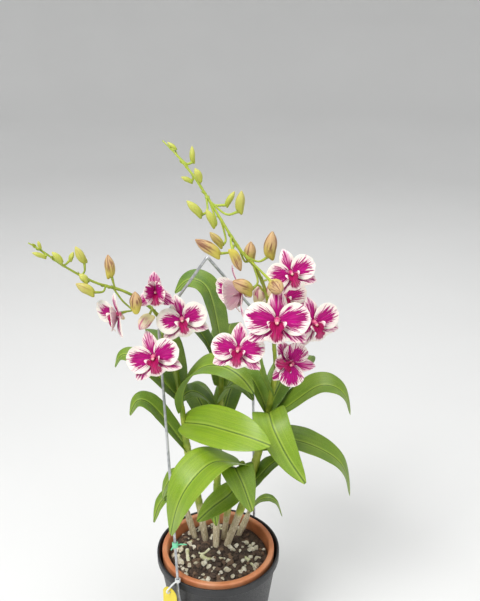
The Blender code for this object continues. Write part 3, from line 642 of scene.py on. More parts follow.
def place_of(x, y, z):
    return put(x.tree, "CombineXYZ", {"X": x, "Y": y, "Z": z})


def outputs_of(node):
    return {socket.name: Tone(socket) for socket in node.outputs}


def open_group(name, numbers, results):
    """An empty node group that reads a place and named numbers and gives named values."""
    tree = bpy.data.node_groups.new(name, "ShaderNodeTree")
    tree.interface.new_socket("Place", in_out="INPUT", socket_type="NodeSocketVector")
    for label, value in numbers.items():
        number = tree.interface.new_socket(label, in_out="INPUT", socket_type="NodeSocketFloat")
        number.default_value = value
    for label in results:
        tree.interface.new_socket(label, in_out="OUTPUT", socket_type="NodeSocketFloat")
    return tree, outputs_of(tree.nodes.new("NodeGroupInput"))


def close_group(tree, **results):
    end = tree.nodes.new("NodeGroupOutput")
    for label, tone in results.items():
        tree.links.new(tone.socket, end.inputs[label])
    return tree


def flame_group():
    """The petals' markings: a toothed flame that fans out from the claw, its rim and the blush round it.

    Veins, streaks, pale gaps between stripes and the line of the midrib all run along rays from the claw.
    """
    numbers = {
        "Seed": 0.0, "Breadth": 0.28, "Middle": 0.3, "Reach": 0.48,
        "Feather": 1.0, "Flush": 1.0, "Fan": 0.8, "Stripes": 0.0,
    }
    tree, given = open_group("flame_marking", numbers, ("Flame", "Rim", "Halo", "Vein", "Streak", "Line"))
    x, y, _ = given["Place"].parts()
    ahead = y + CLAW_SETBACK
    angle = x.step("ARCTAN2", ahead)
    far = (x**2.0 + ahead**2.0).step("SQRT")

    def rays(fine, long, shift):
        return place_of(angle * fine, far * long, given["Seed"] * 7.3 + shift).grain(1.0)

    broad = rays(8.0, 2.2, 0.0)
    medium = rays(15.0, 1.2, 5.1)
    narrow = rays(32.0, 2.6, 3.7)
    thin = rays(60.0, 2.4, 9.1)
    fan = y * given["Fan"] + (given["Fan"] * -0.5 + 1.0)
    across = x / (given["Breadth"] * given["Flush"] * fan)
    along = (y - given["Middle"]) / (given["Reach"] * given["Flush"])
    oval = (across**2.0 + along**2.0).step("SQRT")
    teeth = narrow * 1.9 + (thin * 0.7 + broad * 0.9) - 1.75
    edge = teeth * given["Feather"] + oval
    gaps = given["Stripes"] * y.ramp(0.28, 0.60) * medium.ramp(0.53, 0.46)
    filled = gaps * -1.0 + 1.0
    midrib = x.step("ABSOLUTE").ramp(0.016, 0.005) * y.ramp(0.30, 0.55)
    return close_group(
        tree,
        Flame=edge.ramp(1.04, 0.95) * filled,
        Rim=edge.ramp(0.60, 1.0),
        Halo=edge.ramp(1.40, 0.85),
        Vein=thin.ramp(0.54, 0.64),
        Streak=narrow.ramp(0.40, 0.68),
        Line=midrib * y.ramp(1.0, 0.92),
    )


def mottle_group():
    """Cloudy and fine variation for grown and moulded surfaces, as two masks and a height."""
    numbers = {"Broad": 60.0, "Fine": 900.0, "Seed": 0.0}
    tree, given = open_group("mottle", numbers, ("Cloud", "Speckle", "Height"))
    shift = place_of(given["Seed"], given["Seed"], given["Seed"])
    place = put(tree, "VectorMath", {0: given["Place"], 1: shift}, operation="ADD")
    cloud = place.grain(given["Broad"], 4.0)
    fine = place.grain(given["Fine"])
    masks = {"Cloud": cloud.ramp(0.34, 0.66), "Speckle": fine.ramp(0.40, 0.62)}
    return close_group(tree, **masks, Height=cloud * 0.3 + fine)


class Finish:
    """A Principled material. What is the same all over is set on the shader's own sockets."""

    def __init__(self, name, **sockets):
        self.material = bpy.data.materials.new(name)
        self.material.use_nodes = True
        self.tree = self.material.node_tree
        self.shader = self.tree.nodes["Principled BSDF"]
        for label, value in sockets.items():
            self.shader.inputs[label.replace("_", " ")].default_value = value

    def uv(self):
        return put(self.tree, "UVMap", uv_map="UVMap")

    def place(self):
        return put(self.tree, "TexCoord", out="Object")

    def number(self, label):
        """A number that the piece itself carries."""
        return put(self.tree, "Attribute", out="Fac", attribute_name=label, attribute_type="GEOMETRY")

    def use(self, group, **values):
        return outputs_of(add_node(self.tree, "Group", values, node_tree=group))

    def spots(self, broad, fine, **seed):
        """(cloud, speckle, height) of the mottle at these two scales."""
        return self.use(mottle, Place=self.place(), Broad=broad, Fine=fine, **seed).values()

    def close(self, colour, relief=None, depth=0.0, strength=1.0, roughness=None):
        """Joins the colour, the roughness and the relief to the shader."""
        values = {"Height": relief, "Distance": depth, "Strength": strength}
        bump = relief and put(self.tree, "Bump", values)
        for label, tone in (("Base Color", colour), ("Roughness", roughness), ("Normal", bump)):
            if tone:
                self.tree.links.new(tone.socket, self.shader.inputs[label])
        return self.material


def soft(weight):
    """Light that passes a little way into living tissue."""
    return {"Subsurface_Weight": weight, "Subsurface_Scale": 0.002}


def petal_finish(
    name, shape, ground=CREAM, halo=PINK, deep=DEEP_MAGENTA, colour=MAGENTA,
    strong=1.0, blush=0.42, veins=0.12, vein_colour=PINK, line=0.0,
):
    """A petal's skin: the flame over a pale ground, with veins in both and a faint relief along them."""
    finish = Finish(name, Roughness=0.62, Specular_IOR_Level=0.2, **soft(0.06))
    marks = finish.use(
        flame, Place=finish.uv(), Seed=finish.number("seed"), Flush=finish.number("flush"), **shape
    )
    vein, flamed = marks["Vein"], marks["Flame"]
    pale = (vein * veins).blend(ground, vein_colour)
    pale = (marks["Halo"] * (blush * strong)).blend(pale, halo)
    full = marks["Streak"].blend(deep, colour)
    full = (marks["Rim"] * 0.6).blend(full, deep)
    skin = (flamed * strong).blend(pale, full)
    skin = (vein * flamed * 0.14).blend(skin, halo)
    skin = (marks["Line"] * line).blend(skin, deep)
    return finish.close(skin, finish.place().grain(1400.0) * 0.5 + vein, 0.00014, 0.6)


def leaf_finish(name, bright, dark, roughness):
    """A leaf's skin: veins along it, painted shade in the crease at the midrib, cloudy greens painted
    darker on leaves in shade, pale speckles of painted highlight and a fine pearly relief.
    """
    finish = Finish(name, Specular_IOR_Level=0.48, **soft(0.05))
    x, y, _ = finish.uv().parts()
    cloud, speckle, height = finish.spots(42.0, 1500.0)
    lines = place_of(x * 900.0, y * 14.0, finish.number("seed")).grain(1.0, 1.0).ramp(0.36, 0.64)
    off = x.step("ABSOLUTE")
    beside = off.ramp(0.0030, 0.0014) * off.ramp(0.0007, 0.0013)
    # Painted shade: each leaf's green goes from the lit colour to the dark one by how deep in shade the
    # leaf stands.
    green = finish.number("age").blend(bright, dark)
    green = (cloud * 0.32).blend(green, (0.30, 0.42, 0.02))
    green = (lines * 0.24).blend(green, (0.05, 0.12, 0.008))
    # Painted shade: a dark line down the crease of the midrib.
    green = (off.ramp(0.0010, 0.0003) * 0.75).blend(green, (0.03, 0.08, 0.006))
    green = (beside * 0.45).blend(green, (0.42, 0.55, 0.07))
    # Painted highlights: pale speckles of sheen on the skin.
    green = (speckle * 0.13).blend(green, (0.55, 0.62, 0.20))
    return finish.close(green, lines * 0.4 + height * 0.9, 0.00016, 0.7, speckle * 0.16 + roughness)


def cane_finish():
    """Green canes with lengthwise grooves, clothed below in dry, straw-coloured sheaths."""
    finish = Finish("cane_skin", Roughness=0.5)
    place = finish.place()
    cloud, speckle, _ = finish.spots(90.0, 1200.0)
    fibres = place.drawn_out(1.0, 1.0, 0.06).grain(1500.0).ramp(0.38, 0.62)
    dry = (place.grain(60.0, 3.0) * 0.06 + place.parts()[2]).ramp(0.205, 0.175)
    green = cloud.blend((0.20, 0.30, 0.02), (0.42, 0.48, 0.06))
    straw = fibres.blend((0.56, 0.48, 0.29), (0.84, 0.77, 0.57))
    straw = (speckle * 0.34).blend(straw, (0.24, 0.15, 0.09))
    return finish.close(dry.blend(green, straw), fibres, 0.00018, 0.6)


def stalk_finish():
    """Green flower stalks, fresher and yellower towards their tips."""
    finish = Finish("stalk_skin", Roughness=0.42, **soft(0.08))
    cloud, speckle, height = finish.spots(140.0, 1600.0)
    green = cloud.blend((0.13, 0.21, 0.008), (0.27, 0.34, 0.02))
    green = (finish.place().parts()[2].ramp(0.37, 0.50) * 0.8).blend(green, (0.40, 0.50, 0.05))
    return finish.close((speckle * 0.18).blend(green, (0.55, 0.52, 0.14)), height, 0.0001, 0.5)


def bud_finish():
    """Green buds that turn beige with a purple-brown flush along the seams, then cream and pink."""
    finish = Finish("bud_skin", Roughness=0.52, Specular_IOR_Level=0.3, **soft(0.06))
    x, y, _ = finish.uv().parts()
    ripe, seed = finish.number("ripe"), finish.number("seed")
    stripes = place_of(x * 26.0, y * 2.5, seed).grain(1.0)
    patch = place_of(x * 6.0, y * 2.0, seed).grain(1.0)
    green = y.blend((0.38, 0.43, 0.05), (0.54, 0.54, 0.13))
    beige = y.ramp(0.1, 0.75).blend((0.55, 0.47, 0.08), (0.56, 0.37, 0.18))
    cream = y.blend((0.72, 0.64, 0.30), (0.84, 0.66, 0.60))
    ground = ripe.ramp(0.78, 0.98).blend(ripe.ramp(0.15, 0.5).blend(green, beige), cream)
    striped = (stripes * 0.9 + patch).ramp(0.94, 1.14) * ripe.ramp(0.18, 0.6)
    seams = (x * 3.0).step("PINGPONG", 0.5).ramp(0.11, 0.01) * ripe.ramp(0.10, 0.5)
    flushed = striped.step("MAXIMUM", seams) * y.ramp(0.10, 0.50)
    flush = ripe.ramp(0.8, 1.0).blend((0.17, 0.05, 0.035), (0.48, 0.01, 0.19))
    return finish.close((flushed * 0.82).blend(ground, flush), stripes, 0.0002, 0.5)


def tissue_finish(name, scales, dark, light, relief, fleck=None, flecks=0.0, seeded=False, **sockets):
    """A cloudy skin between two colours, flecked where a third is given, its relief from the mottle."""
    finish = Finish(name, **sockets)
    seed = {"Seed": finish.number("seed")} if seeded else {}
    cloud, speckle, height = finish.spots(*scales, **seed)
    skin = cloud.blend(dark, light)
    if fleck:
        skin = (speckle * flecks).blend(skin, fleck)
    return finish.close(skin, height, *relief)


def moulded_finish(name, light, dark, roughness, dust):
    """Moulded plastic: even colour with faint flow marks, dust and small scuffs in its gloss."""
    finish = Finish(name, Specular_IOR_Level=0.5)
    cloud, speckle, _ = finish.spots(35.0, 700.0)
    lines = finish.place().drawn_out(0.06, 0.06, 1.0).grain(900.0, 1.0)
    dusty = (speckle * 0.25 + cloud).ramp(0.55, 1.15) * dust
    skin = dusty.blend(cloud.blend(dark, light), (0.46, 0.42, 0.36))
    return finish.close(skin, lines * 0.5 + speckle, 0.00006, 0.5, speckle * 0.14 + roughness)


def bark_finish():
    """Dark bark, each chip of its own tone, split along its fibres."""
    finish = Finish("bark", Roughness=0.85)
    seed = finish.number("seed")
    cloud, _, height = finish.spots(170.0, 1400.0, Seed=seed)
    fibres = finish.place().drawn_out(0.25, 1.0, 1.0).grain(1600.0).ramp(0.4, 0.62)
    brown = cloud.blend((0.026, 0.019, 0.015), (0.105, 0.068, 0.050))
    brown = (fibres * 0.45).blend(brown, (0.18, 0.115, 0.080))
    tone = (seed * 0.37).step("FRACT").ramp(0.55, 1.0) * 0.75
    return finish.close(tone.blend(brown, (0.30, 0.19, 0.12)), fibres + height, 0.0005, 0.8)


def zinc_finish():
    """Galvanised steel: a dull zinc coat with spangles."""
    finish = Finish("zinc", Metallic=0.85)
    cloud, speckle, height = finish.spots(120.0, 1300.0)
    grey = cloud.blend((0.40, 0.42, 0.44), (0.66, 0.67, 0.68))
    return finish.close(grey, height, 0.00005, 0.6, speckle * 0.22 + 0.34)


flame = flame_group()
mottle = mottle_group()
PETAL_MARK = {"Breadth": 0.34, "Middle": 0.34, "Reach": 0.47, "Feather": 0.95, "Fan": 0.8, "Stripes": 0.0}
SEPAL_MARK = {"Breadth": 0.21, "Middle": 0.30, "Reach": 0.55, "Feather": 0.9, "Fan": 0.0, "Stripes": 0.65}
LIP_MARK = {"Breadth": 0.24, "Middle": 0.33, "Reach": 0.37, "Feather": 0.45, "Fan": 0.0, "Stripes": 0.15}
petal_face = petal_finish("petal_face", PETAL_MARK)
sepal_face = petal_finish("sepal_face", SEPAL_MARK, blush=0.62, line=0.75)
lip_face = petal_finish("lip_face", LIP_MARK, deep=DEEP_CRIMSON, colour=CRIMSON, blush=0.5)
backs = {
    "ground": PALE_BACK, "halo": WHITE_PINK, "deep": MAUVE, "colour": PINK,
    "veins": 0.38, "vein_colour": MAUVE,
}
petal_back = petal_finish("petal_back", PETAL_MARK, strong=0.35, **backs)
sepal_back = petal_finish("sepal_back", SEPAL_MARK, strong=0.5, **backs)
lip_back = petal_finish("lip_back", LIP_MARK, strong=0.6, **backs)
leaf_face = leaf_finish("leaf_face", (0.21, 0.36, 0.005), (0.045, 0.125, 0.014), 0.34)
leaf_back = leaf_finish("leaf_back", (0.26, 0.40, 0.05), (0.12, 0.22, 0.05), 0.55)
cane_skin = cane_finish()
stalk_skin = stalk_finish()
bud_skin = bud_finish()
column_skin = tissue_finish(
    "column_skin", (300.0, 1800.0), (0.56, 0.03, 0.18), (0.80, 0.26, 0.36), (0.0001, 0.5),
    Roughness=0.4, **soft(0.1),
)
chin_skin = tissue_finish(
    "chin_skin", (220.0, 1800.0), (0.66, 0.56, 0.28), (0.82, 0.60, 0.62), (0.0001, 0.5), Roughness=0.5,
)
cap_skin = tissue_finish(
    "cap_skin", (400.0, 2000.0), (0.78, 0.34, 0.34), (0.86, 0.58, 0.50), (0.0001, 0.5), Roughness=0.45,
)
bark = bark_finish()
pumice = tissue_finish(
    "pumice", (260.0, 2200.0), (0.60, 0.54, 0.38), (0.88, 0.85, 0.72), (0.0006, 0.9),
    (0.36, 0.30, 0.24), 0.3, True, Roughness=0.9,
)
root_skin = tissue_finish(
    "root_skin", (160.0, 1500.0), (0.56, 0.57, 0.30), (0.80, 0.78, 0.60), (0.0003, 0.7),
    (0.30, 0.26, 0.16), 0.25, Roughness=0.7,
)
zinc = zinc_finish()
charcoal = moulded_finish("charcoal_plastic", (0.018, 0.019, 0.022), (0.013, 0.014, 0.017), 0.38, 0.015)
terracotta = moulded_finish("terracotta_plastic", (0.70, 0.27, 0.115), (0.52, 0.175, 0.07), 0.42, 0.14)
tag_yellow = moulded_finish("tag_yellow", (0.86, 0.70, 0.05), (0.78, 0.60, 0.03), 0.38, 0.03)
strap_white = moulded_finish("strap_white", (0.82, 0.83, 0.82), (0.68, 0.70, 0.70), 0.4, 0.05)
tie_mint = moulded_finish("tie_mint", (0.20, 0.68, 0.40), (0.12, 0.55, 0.30), 0.36, 0.03)


# Pots


def leg_direction(leg):
    """The level direction from the middle to a hanger leg: 0 at the front left, 1 behind."""
    angle = math.radians(LEG_ANGLE + 180 * leg)
    return Vector((math.cos(angle), math.sin(angle), 0))


def cover_radius(height):
    """The cover pot's outer radius below its lip."""
    share = height / (COVER_HEIGHT - COVER_LIP_HEIGHT)
    return COVER_BASE_RADIUS + share * (COVER_NECK_RADIUS - COVER_BASE_RADIUS)


def grow_radius(height):
    """The grow pot's outer radius below its collar."""
    share = (height - GROW_BASE_Z) / (GROW_RIM_Z - GROW_COLLAR_HEIGHT - GROW_BASE_Z)
    return GROW_BASE_RADIUS + share * (GROW_NECK_RADIUS - GROW_BASE_RADIUS)


def drill(obj, cutters):
    """Cuts holes, then removes the cutters."""
    for cutter in cutters:
        finish_mesh(obj, combined("DIFFERENCE", cutter))
        bpy.data.objects.remove(cutter)


def cover_pot():
    """The dark outer pot, with a turned-out lip, a foot ring and a hole for each end of the wire."""
    lip_foot = COVER_HEIGHT - COVER_LIP_HEIGHT
    profile = [
        (COVER_BASE_RADIUS - 0.0060, 0.0008),
        (COVER_BASE_RADIUS - 0.0050, 0.0),
        (COVER_BASE_RADIUS - 0.0010, 0.0),
        (COVER_BASE_RADIUS, 0.0010),
        (cover_radius(0.052), 0.052),
        (COVER_NECK_RADIUS, lip_foot - 0.0012),
        (COVER_LIP_RADIUS, lip_foot),
        (COVER_LIP_RADIUS, COVER_HEIGHT),
        (COVER_LIP_RADIUS - COVER_WALL, COVER_HEIGHT),
        (COVER_NECK_RADIUS - COVER_WALL + 0.0012, lip_foot - 0.0010),
        (COVER_BASE_RADIUS - COVER_WALL, COVER_FLOOR),
    ]
    pot = lathe("cover_pot_moulded", profile)
    cutters = []
    for leg in (0, 1):
        reach = [cover_radius(HOOK_Z) + step * COVER_WALL for step in (-2, 1)]
        ends = [leg_direction(leg) * length + up(HOOK_Z) for length in reach]
        cutters.append(tube("punch", ends, [WIRE_HOLE_RADIUS] * 2, 20))
    finish_mesh(pot, soft_edges(0.0006, angle=0.5))
    drill(pot, cutters)
    return seat(paint(pot, charcoal), "cover_pot")


def grow_pot():
    """The terracotta-coloured pot with its thick collar and drain holes."""
    collar_foot = GROW_RIM_Z - GROW_COLLAR_HEIGHT
    profile = [
        (GROW_BASE_RADIUS, GROW_BASE_Z),
        (GROW_NECK_RADIUS, collar_foot),
        (GROW_COLLAR_RADIUS, collar_foot),
        (GROW_COLLAR_RADIUS, GROW_RIM_Z - 0.0012),
        (GROW_COLLAR_RADIUS - 0.0012, GROW_RIM_Z),
        (GROW_COLLAR_RADIUS - 0.0048, GROW_RIM_Z),
        (GROW_COLLAR_RADIUS - 0.0058, GROW_RIM_Z - 0.0016),
        (GROW_NECK_RADIUS - GROW_WALL, collar_foot),
        (GROW_BASE_RADIUS - GROW_WALL, GROW_BASE_Z + GROW_FLOOR),
    ]
    pot = lathe("grow_pot_moulded", profile)
    cutters = []
    for k in range(4):
        angle = math.pi * (k + 0.5) / 2
        middle = Vector((math.cos(angle), math.sin(angle), 0)) * DRAIN_HOLE_RING
        ends = [middle + up(0.0005), middle + up(0.008)]
        cutters.append(tube("punch", ends, [DRAIN_HOLE_RADIUS] * 2, 20))
    finish_mesh(pot, soft_edges(0.0005, angle=0.4))
    drill(pot, cutters)
    return seat(paint(pot, terracotta), "grow_pot")


# Potting mix


def mix_height(x, y):
    """The surface of the potting mix, uneven and slightly heaped at the clump."""
    heap = 0.0012 * math.exp(-((x**2 + (y - 0.018) ** 2) / 0.025**2))
    return MIX_TOP + heap + MIX_RELIEF * noise(Vector((x, y, 0.3)) * 90)


def mix_radius():
    """The radius of the mix at its surface."""
    return grow_radius(MIX_TOP - MIX_SHOULDER) - GROW_WALL - MIX_EDGE_GAP


def mix_bed():
    """The dark fines between the chips, from the pot's floor to the uneven surface."""
    edge = mix_radius()
    floor = GROW_BASE_Z + GROW_FLOOR + SEAT_GAP
    profile = [(GROW_BASE_RADIUS - GROW_WALL - MIX_EDGE_GAP, floor), (edge, MIX_TOP - MIX_SHOULDER)]
    profile += [(edge * k / 16, MIX_TOP) for k in range(16, 0, -1)]
    bed = lathe("mix_bed", profile, 72)
    enter(bed)
    bpy.ops.mesh.select_all(action="SELECT")
    bpy.ops.mesh.normals_make_consistent(inside=False)
    leave()
    for corner in bed.data.vertices:
        if corner.co.z > MIX_TOP - 0.0001:
            crumbs = FINES_DEPTH * noise(corner.co * 420)
            corner.co.z = mix_height(corner.co.x, corner.co.y) - FINES_DEPTH + crumbs
    return mark(paint(finish_mesh(bed), bark), seed=0.0)


def chip_pattern(seed, flatness, rounds):
    """One angular chip of radius 1, cut flat here and there from a ball."""
    draw = random.Random(seed)
    deselect()
    bpy.ops.mesh.primitive_ico_sphere_add(subdivisions=2, radius=1)
    chip = bpy.context.object
    enter(chip)
    bpy.ops.mesh.select_all(action="SELECT")
    for _ in range(rounds):
        way = Vector((draw.uniform(-1, 1), draw.uniform(-1, 1), draw.uniform(-1, 1))).normalized()
        depth = draw.uniform(0.55, 0.8)
        bpy.ops.mesh.select_all(action="SELECT")
        bpy.ops.mesh.bisect(plane_co=way * depth, plane_no=way, clear_outer=True, use_fill=True)
    bpy.ops.mesh.select_all(action="SELECT")
    stretch(1.0, draw.uniform(0.6, 0.9), flatness, (0, 0, 0))
    bpy.ops.mesh.remove_doubles(threshold=0.08)
    bpy.ops.mesh.normals_make_consistent(inside=False)
    leave()
    return chip


def strewn(name, patterns, count, sizes, seed, material, sunk, crowd):
    """Copies of the patterns at random places on the mix, clear of the canes and inside the grow pot.

    sunk is how far each is let into the mix, as a share of its size, and crowd how high they may pile up.
    """
    draw = random.Random(seed)
    feet = [mm(cane.axis[0]) for cane in CANES.values()]
    parts = []
    while len(parts) < count:
        size = draw.uniform(*sizes)
        radius = (mix_radius() - size) * math.sqrt(draw.random())
        angle = draw.uniform(0, 2 * math.pi)
        x, y = radius * math.cos(angle), radius * math.sin(angle)
        if min(math.dist((x, y), foot[:2]) for foot in feet) < size + FOOT_CLEARANCE:
            continue
        swing = Matrix.Rotation(draw.uniform(0, 2 * math.pi), 4, "Z")
        lie = swing @ Matrix.Rotation(draw.uniform(-0.6, 0.6), 4, "X")
        lift = size * (draw.uniform(0.0, 0.45) - sunk) + crowd * draw.random()
        place = Matrix.Translation((x, y, mix_height(x, y) + lift)) @ lie @ Matrix.Scale(size, 4)
        parts.append(mark(copy_of(draw.choice(patterns), "chip", place), seed=draw.uniform(0, 50)))
    return paint(join(name, parts), material)


def surface_roots():
    """Thick pale roots lying half sunk on the mix in front of the canes."""
    routes = (
        [(-19, -3), (-12, -8), (-3, -9), (5, -7)],
        [(-34, 6), (-33, -4), (-31, -14)],
        [(26, -4), (32, -9), (38, -18)],
        [(-10, 6), (-16, 0), (-24, -2), (-30, -9)],
        [(-30, 20), (-40, 12), (-43, 0)],
        [(10, 30), (4, 40), (-8, 44)],
    )
    draw = random.Random(5)
    roots = []
    for route in routes:
        points = [mm((x, y, 0)) + up(mix_height(x / 1000, y / 1000) + 0.0004) for x, y in route]
        path = smooth_path(points, even(20))
        thick = 0.0023 if len(roots) < 3 else draw.uniform(0.0014, 0.0018)
        radii = [thick * (0.9 + 0.12 * math.sin(9 * t + len(roots))) * (1 - 0.55 * t**6) for t in even(20)]
        roots.append(tube("root", path, radii, 12))
    return paint(join("surface_roots", roots), root_skin)


def potting_mix():
    """The bed of fines, the bark chips, the pumice and the roots that show."""
    flat = [chip_pattern(seed, 0.42, 7) for seed in (1, 2, 3)]
    blocky = [chip_pattern(seed, 0.7, 6) for seed in (4, 5, 6)]
    pieces = [
        mix_bed(),
        strewn("bark_chips", flat + blocky, 230, (0.0022, 0.0052), 21, bark, 0.25, 0.0008),
        strewn("pumice_grains", blocky, 100, (0.0012, 0.0045), 33, pumice, 0.05, 0.0014),
        surface_roots(),
    ]
    for piece in pieces:
        seat(piece, "potting_mix")
    for pattern in flat + blocky:
        bpy.data.objects.remove(pattern)


# Canes and leaves

LEAF_COLUMNS = (-1.0, -0.72, -0.4, -0.1, 0.0, 0.1, 0.4, 0.72, 1.0)
LEAF_ROWS = 12


def leaf_profile(across):
    """The halves rise from the midrib and level out towards the rim."""
    off = abs(across)
    return 0.42 * off - 0.13 * off**2 + (0.0 if off else -0.02)


def leaf_fold(share):
    """Folded at the base, nearly flat at the tip."""
    return 1.2 - 0.7 * share


def leaf(leaf_of, draw):
    """A leaf bent along its midrib, its rim gently waved."""
    route = [mm(point) for point in leaf_of.midrib]
    outwards = (route[-1] - route[0]) * Vector((1, 1, 0))
    facing = up(outwards.length) - outwards * 0.35
    facing.rotate(Matrix.Rotation(math.radians(leaf_of.turn), 3, outwards))
    shares = even(LEAF_ROWS)
    path = smooth_path(route, shares)
    length = sum((b - a).length for a, b in zip(path, path[1:]))
    columns = len(LEAF_COLUMNS)
    width = leaf_of.width / 1000
    blade = flat_blade("leaf", LEAF_COLUMNS, shares, length, width, leaf_outline, leaf_profile)
    wave_rim(blade, columns, draw, LEAF_WAVE)
    lay_rows(blade, columns, shares, length, path, frames_along(path, facing), leaf_fold)
    paint(blade, leaf_face, leaf_back)
    finish_mesh(blade, skin(LEAF_SKIN, 1), rounding(2))
    return mark(blade, age=leaf_of.age, seed=draw.uniform(0, 50))


def cane_path(cane, spans=CANE_SPANS):
    """The axis of a cane, carried on down into the mix."""
    joints = [mm(point) for point in cane.axis]
    foot = joints[0] - (joints[1] - joints[0]).normalized() * CANE_DEPTH
    return [foot, *smooth_path(joints, even(spans))]


def leafy_cane(name, cane, draw):
    """A cane clothed in sheaths, each a little wider at its upper end, with its leaves."""
    spans = 18 * cane.joints
    radii = [cane.foot / 1000]
    for t in even(spans):
        belly = math.sin(math.pi * min(1.0, 1.25 * t)) ** 2
        radius = cane.foot + (cane.top - cane.foot) * t + (cane.belly - cane.foot) * belly
        within = (t * cane.joints) % 1.0
        step = -0.10 + 0.34 * within**1.5 - (0.22 if within > 0.97 or within < 0.04 else 0.0)
        radii.append((radius + step) / 1000)
    parts = [paint(tube(name, cane_path(cane, spans), radii, 16), cane_skin)]
    parts += [leaf(each, draw) for each in cane.leaves]
    return seat(join(name + "_leafy", parts), name)


# Flowers

PETAL_COLUMNS = (-1.0, -0.78, -0.5, -0.2, 0.0, 0.2, 0.5, 0.78, 1.0)
SEPAL_COLUMNS = (-1.0, -0.68, -0.3, 0.0, 0.3, 0.68, 1.0)
ARCH = ((0.08, 0.0), (0.35, 0.055), (0.70, 0.06), (1.0, -0.02))
PETAL_WIDTH = 0.95
SEPAL_WIDTH = 0.59
LIP_WIDTH = 0.72
LIP_LENGTH = 0.80
LIP_ROUTE = ((0, -0.05, 0.02), (0, -0.15, 0.20), (0, -0.33, 0.30), (0, -0.52, 0.27), (0, -0.68, 0.16))
COLUMN_ROUTE = ((0, 0.02, -0.13), (0, 0.03, 0.12), (0, -0.02, 0.27))
COLUMN_RADII = (0.10, 0.105, 0.10, 0.095, 0.09, 0.085, 0.08, 0.072, 0.064, 0.058, 0.045)
CHIN_ROUTE = ((0, -0.03, -0.09), (0, -0.14, -0.18), (0, -0.24, -0.29))
CHIN_RADII = (0.07, 0.085, 0.10, 0.105, 0.10, 0.09, 0.075, 0.06, 0.035)
CAP_MIDDLE = (0, -0.02, 0.262)
CAP_RADIUS = 0.056


def petal_profile(across):
    """Cupped across, with the midrib a fine groove."""
    return 0.05 * across**2 - (0.012 if across == 0 else 0.0)


def sepal_profile(across):
    """Keeled, with the midrib a fine ridge."""
    return -0.06 * abs(across) + (0.02 if across == 0 else 0.0)


def lip_profile(across):
    """A plain fold, which lip_fold opens or closes row by row."""
    return abs(across)


def lip_fold(t):
    """The side lobes stand up round the column; the middle lobe is nearly flat."""
    return 0.9 * math.exp(-(((t - 0.26) / 0.20) ** 2)) - 0.12 * t


def tepal_pattern(name, columns, rows, width, outline, profile, wave, skins, seed):
    """A petal or sepal one unit long along +Y, its face up, arched and waved."""
    shares = closer_at_tip(rows)
    path = smooth_path([(0, share, bow) for share, bow in ARCH], shares)
    blade = flat_blade(name, columns, shares, 1.0, width, outline, profile)
    wave_rim(blade, len(columns), random.Random(seed), wave)
    lay_rows(blade, len(columns), shares, 1.0, path, frames_along(path, (0, 0, 1)))
    paint(blade, *skins)
    return finish_mesh(blade, skin(PETAL_SKIN, 1), rounding(2))


def lip_pattern(seed):
    """The lip one petal length to the unit, in the bloom's own directions."""
    shares = even(11)
    columns = len(PETAL_COLUMNS)
    path = smooth_path(LIP_ROUTE, shares)
    blade = flat_blade("lip", PETAL_COLUMNS, shares, LIP_LENGTH, LIP_WIDTH, lip_outline, lip_profile)
    lay_rows(blade, columns, shares, LIP_LENGTH, path, frames_along(path, (0, 0.9, 0.5)), lip_fold)
    draw = random.Random(seed)
    enter(blade)
    for row in range(6, 12):
        for column in (0, columns - 1) if row < 11 else range(0, columns, 2):
            pick(blade, lambda corner: corner.index == row * columns + column)
            move(z=(0.04 if row % 2 else -0.03) * draw.uniform(0.6, 1.2))
    leave()
    paint(blade, lip_face, lip_back)
    return finish_mesh(blade, skin(PETAL_SKIN, 1), rounding(2))


def bloom_place(bloom):
    """Places a bloom drawn facing +Z with its top sepal to +Y and one petal length as the unit."""
    forward = Vector(bloom.facing).normalized()
    right = up(1).cross(forward).normalized()
    swing = axes(right, forward.cross(right), forward).to_4x4()
    roll = Matrix.Rotation(math.radians(bloom.roll), 4, "Z")
    return Matrix.Translation(mm(bloom.centre)) @ swing @ roll @ Matrix.Scale(bloom.length / 1000, 4)


def tepal_place(angle, lift, shut):
    """Stands a petal or sepal in its bloom, closed by an angle."""
    out = Vector((math.cos(math.radians(angle)), math.sin(math.radians(angle)), 0))
    along = out * math.cos(shut) + up(math.sin(shut))
    face = up(math.cos(shut)) - out * math.sin(shut)
    swing = axes(along.cross(face), along, face).to_4x4()
    return Matrix.Translation(up(lift)) @ swing


def column_pattern():
    """The column, the chin behind it and the cap at its end, one petal length to the unit."""
    column = tube("column", smooth_path(COLUMN_ROUTE, even(10)), COLUMN_RADII, 16)
    chin = tube("chin", smooth_path(CHIN_ROUTE, even(8)), CHIN_RADII, 12)
    deselect()
    bpy.ops.mesh.primitive_uv_sphere_add(
        segments=16, ring_count=10, radius=CAP_RADIUS, location=CAP_MIDDLE
    )
    cap = bpy.context.object
    bpy.ops.object.transform_apply(location=True)
    enter(cap)
    pick(cap, lambda corner: corner.co.z > CAP_MIDDLE[2])
    stretch(1.0, 0.8, 0.7, CAP_MIDDLE)
    leave()
    return paint(column, column_skin), paint(chin, chin_skin), paint(cap, cap_skin)


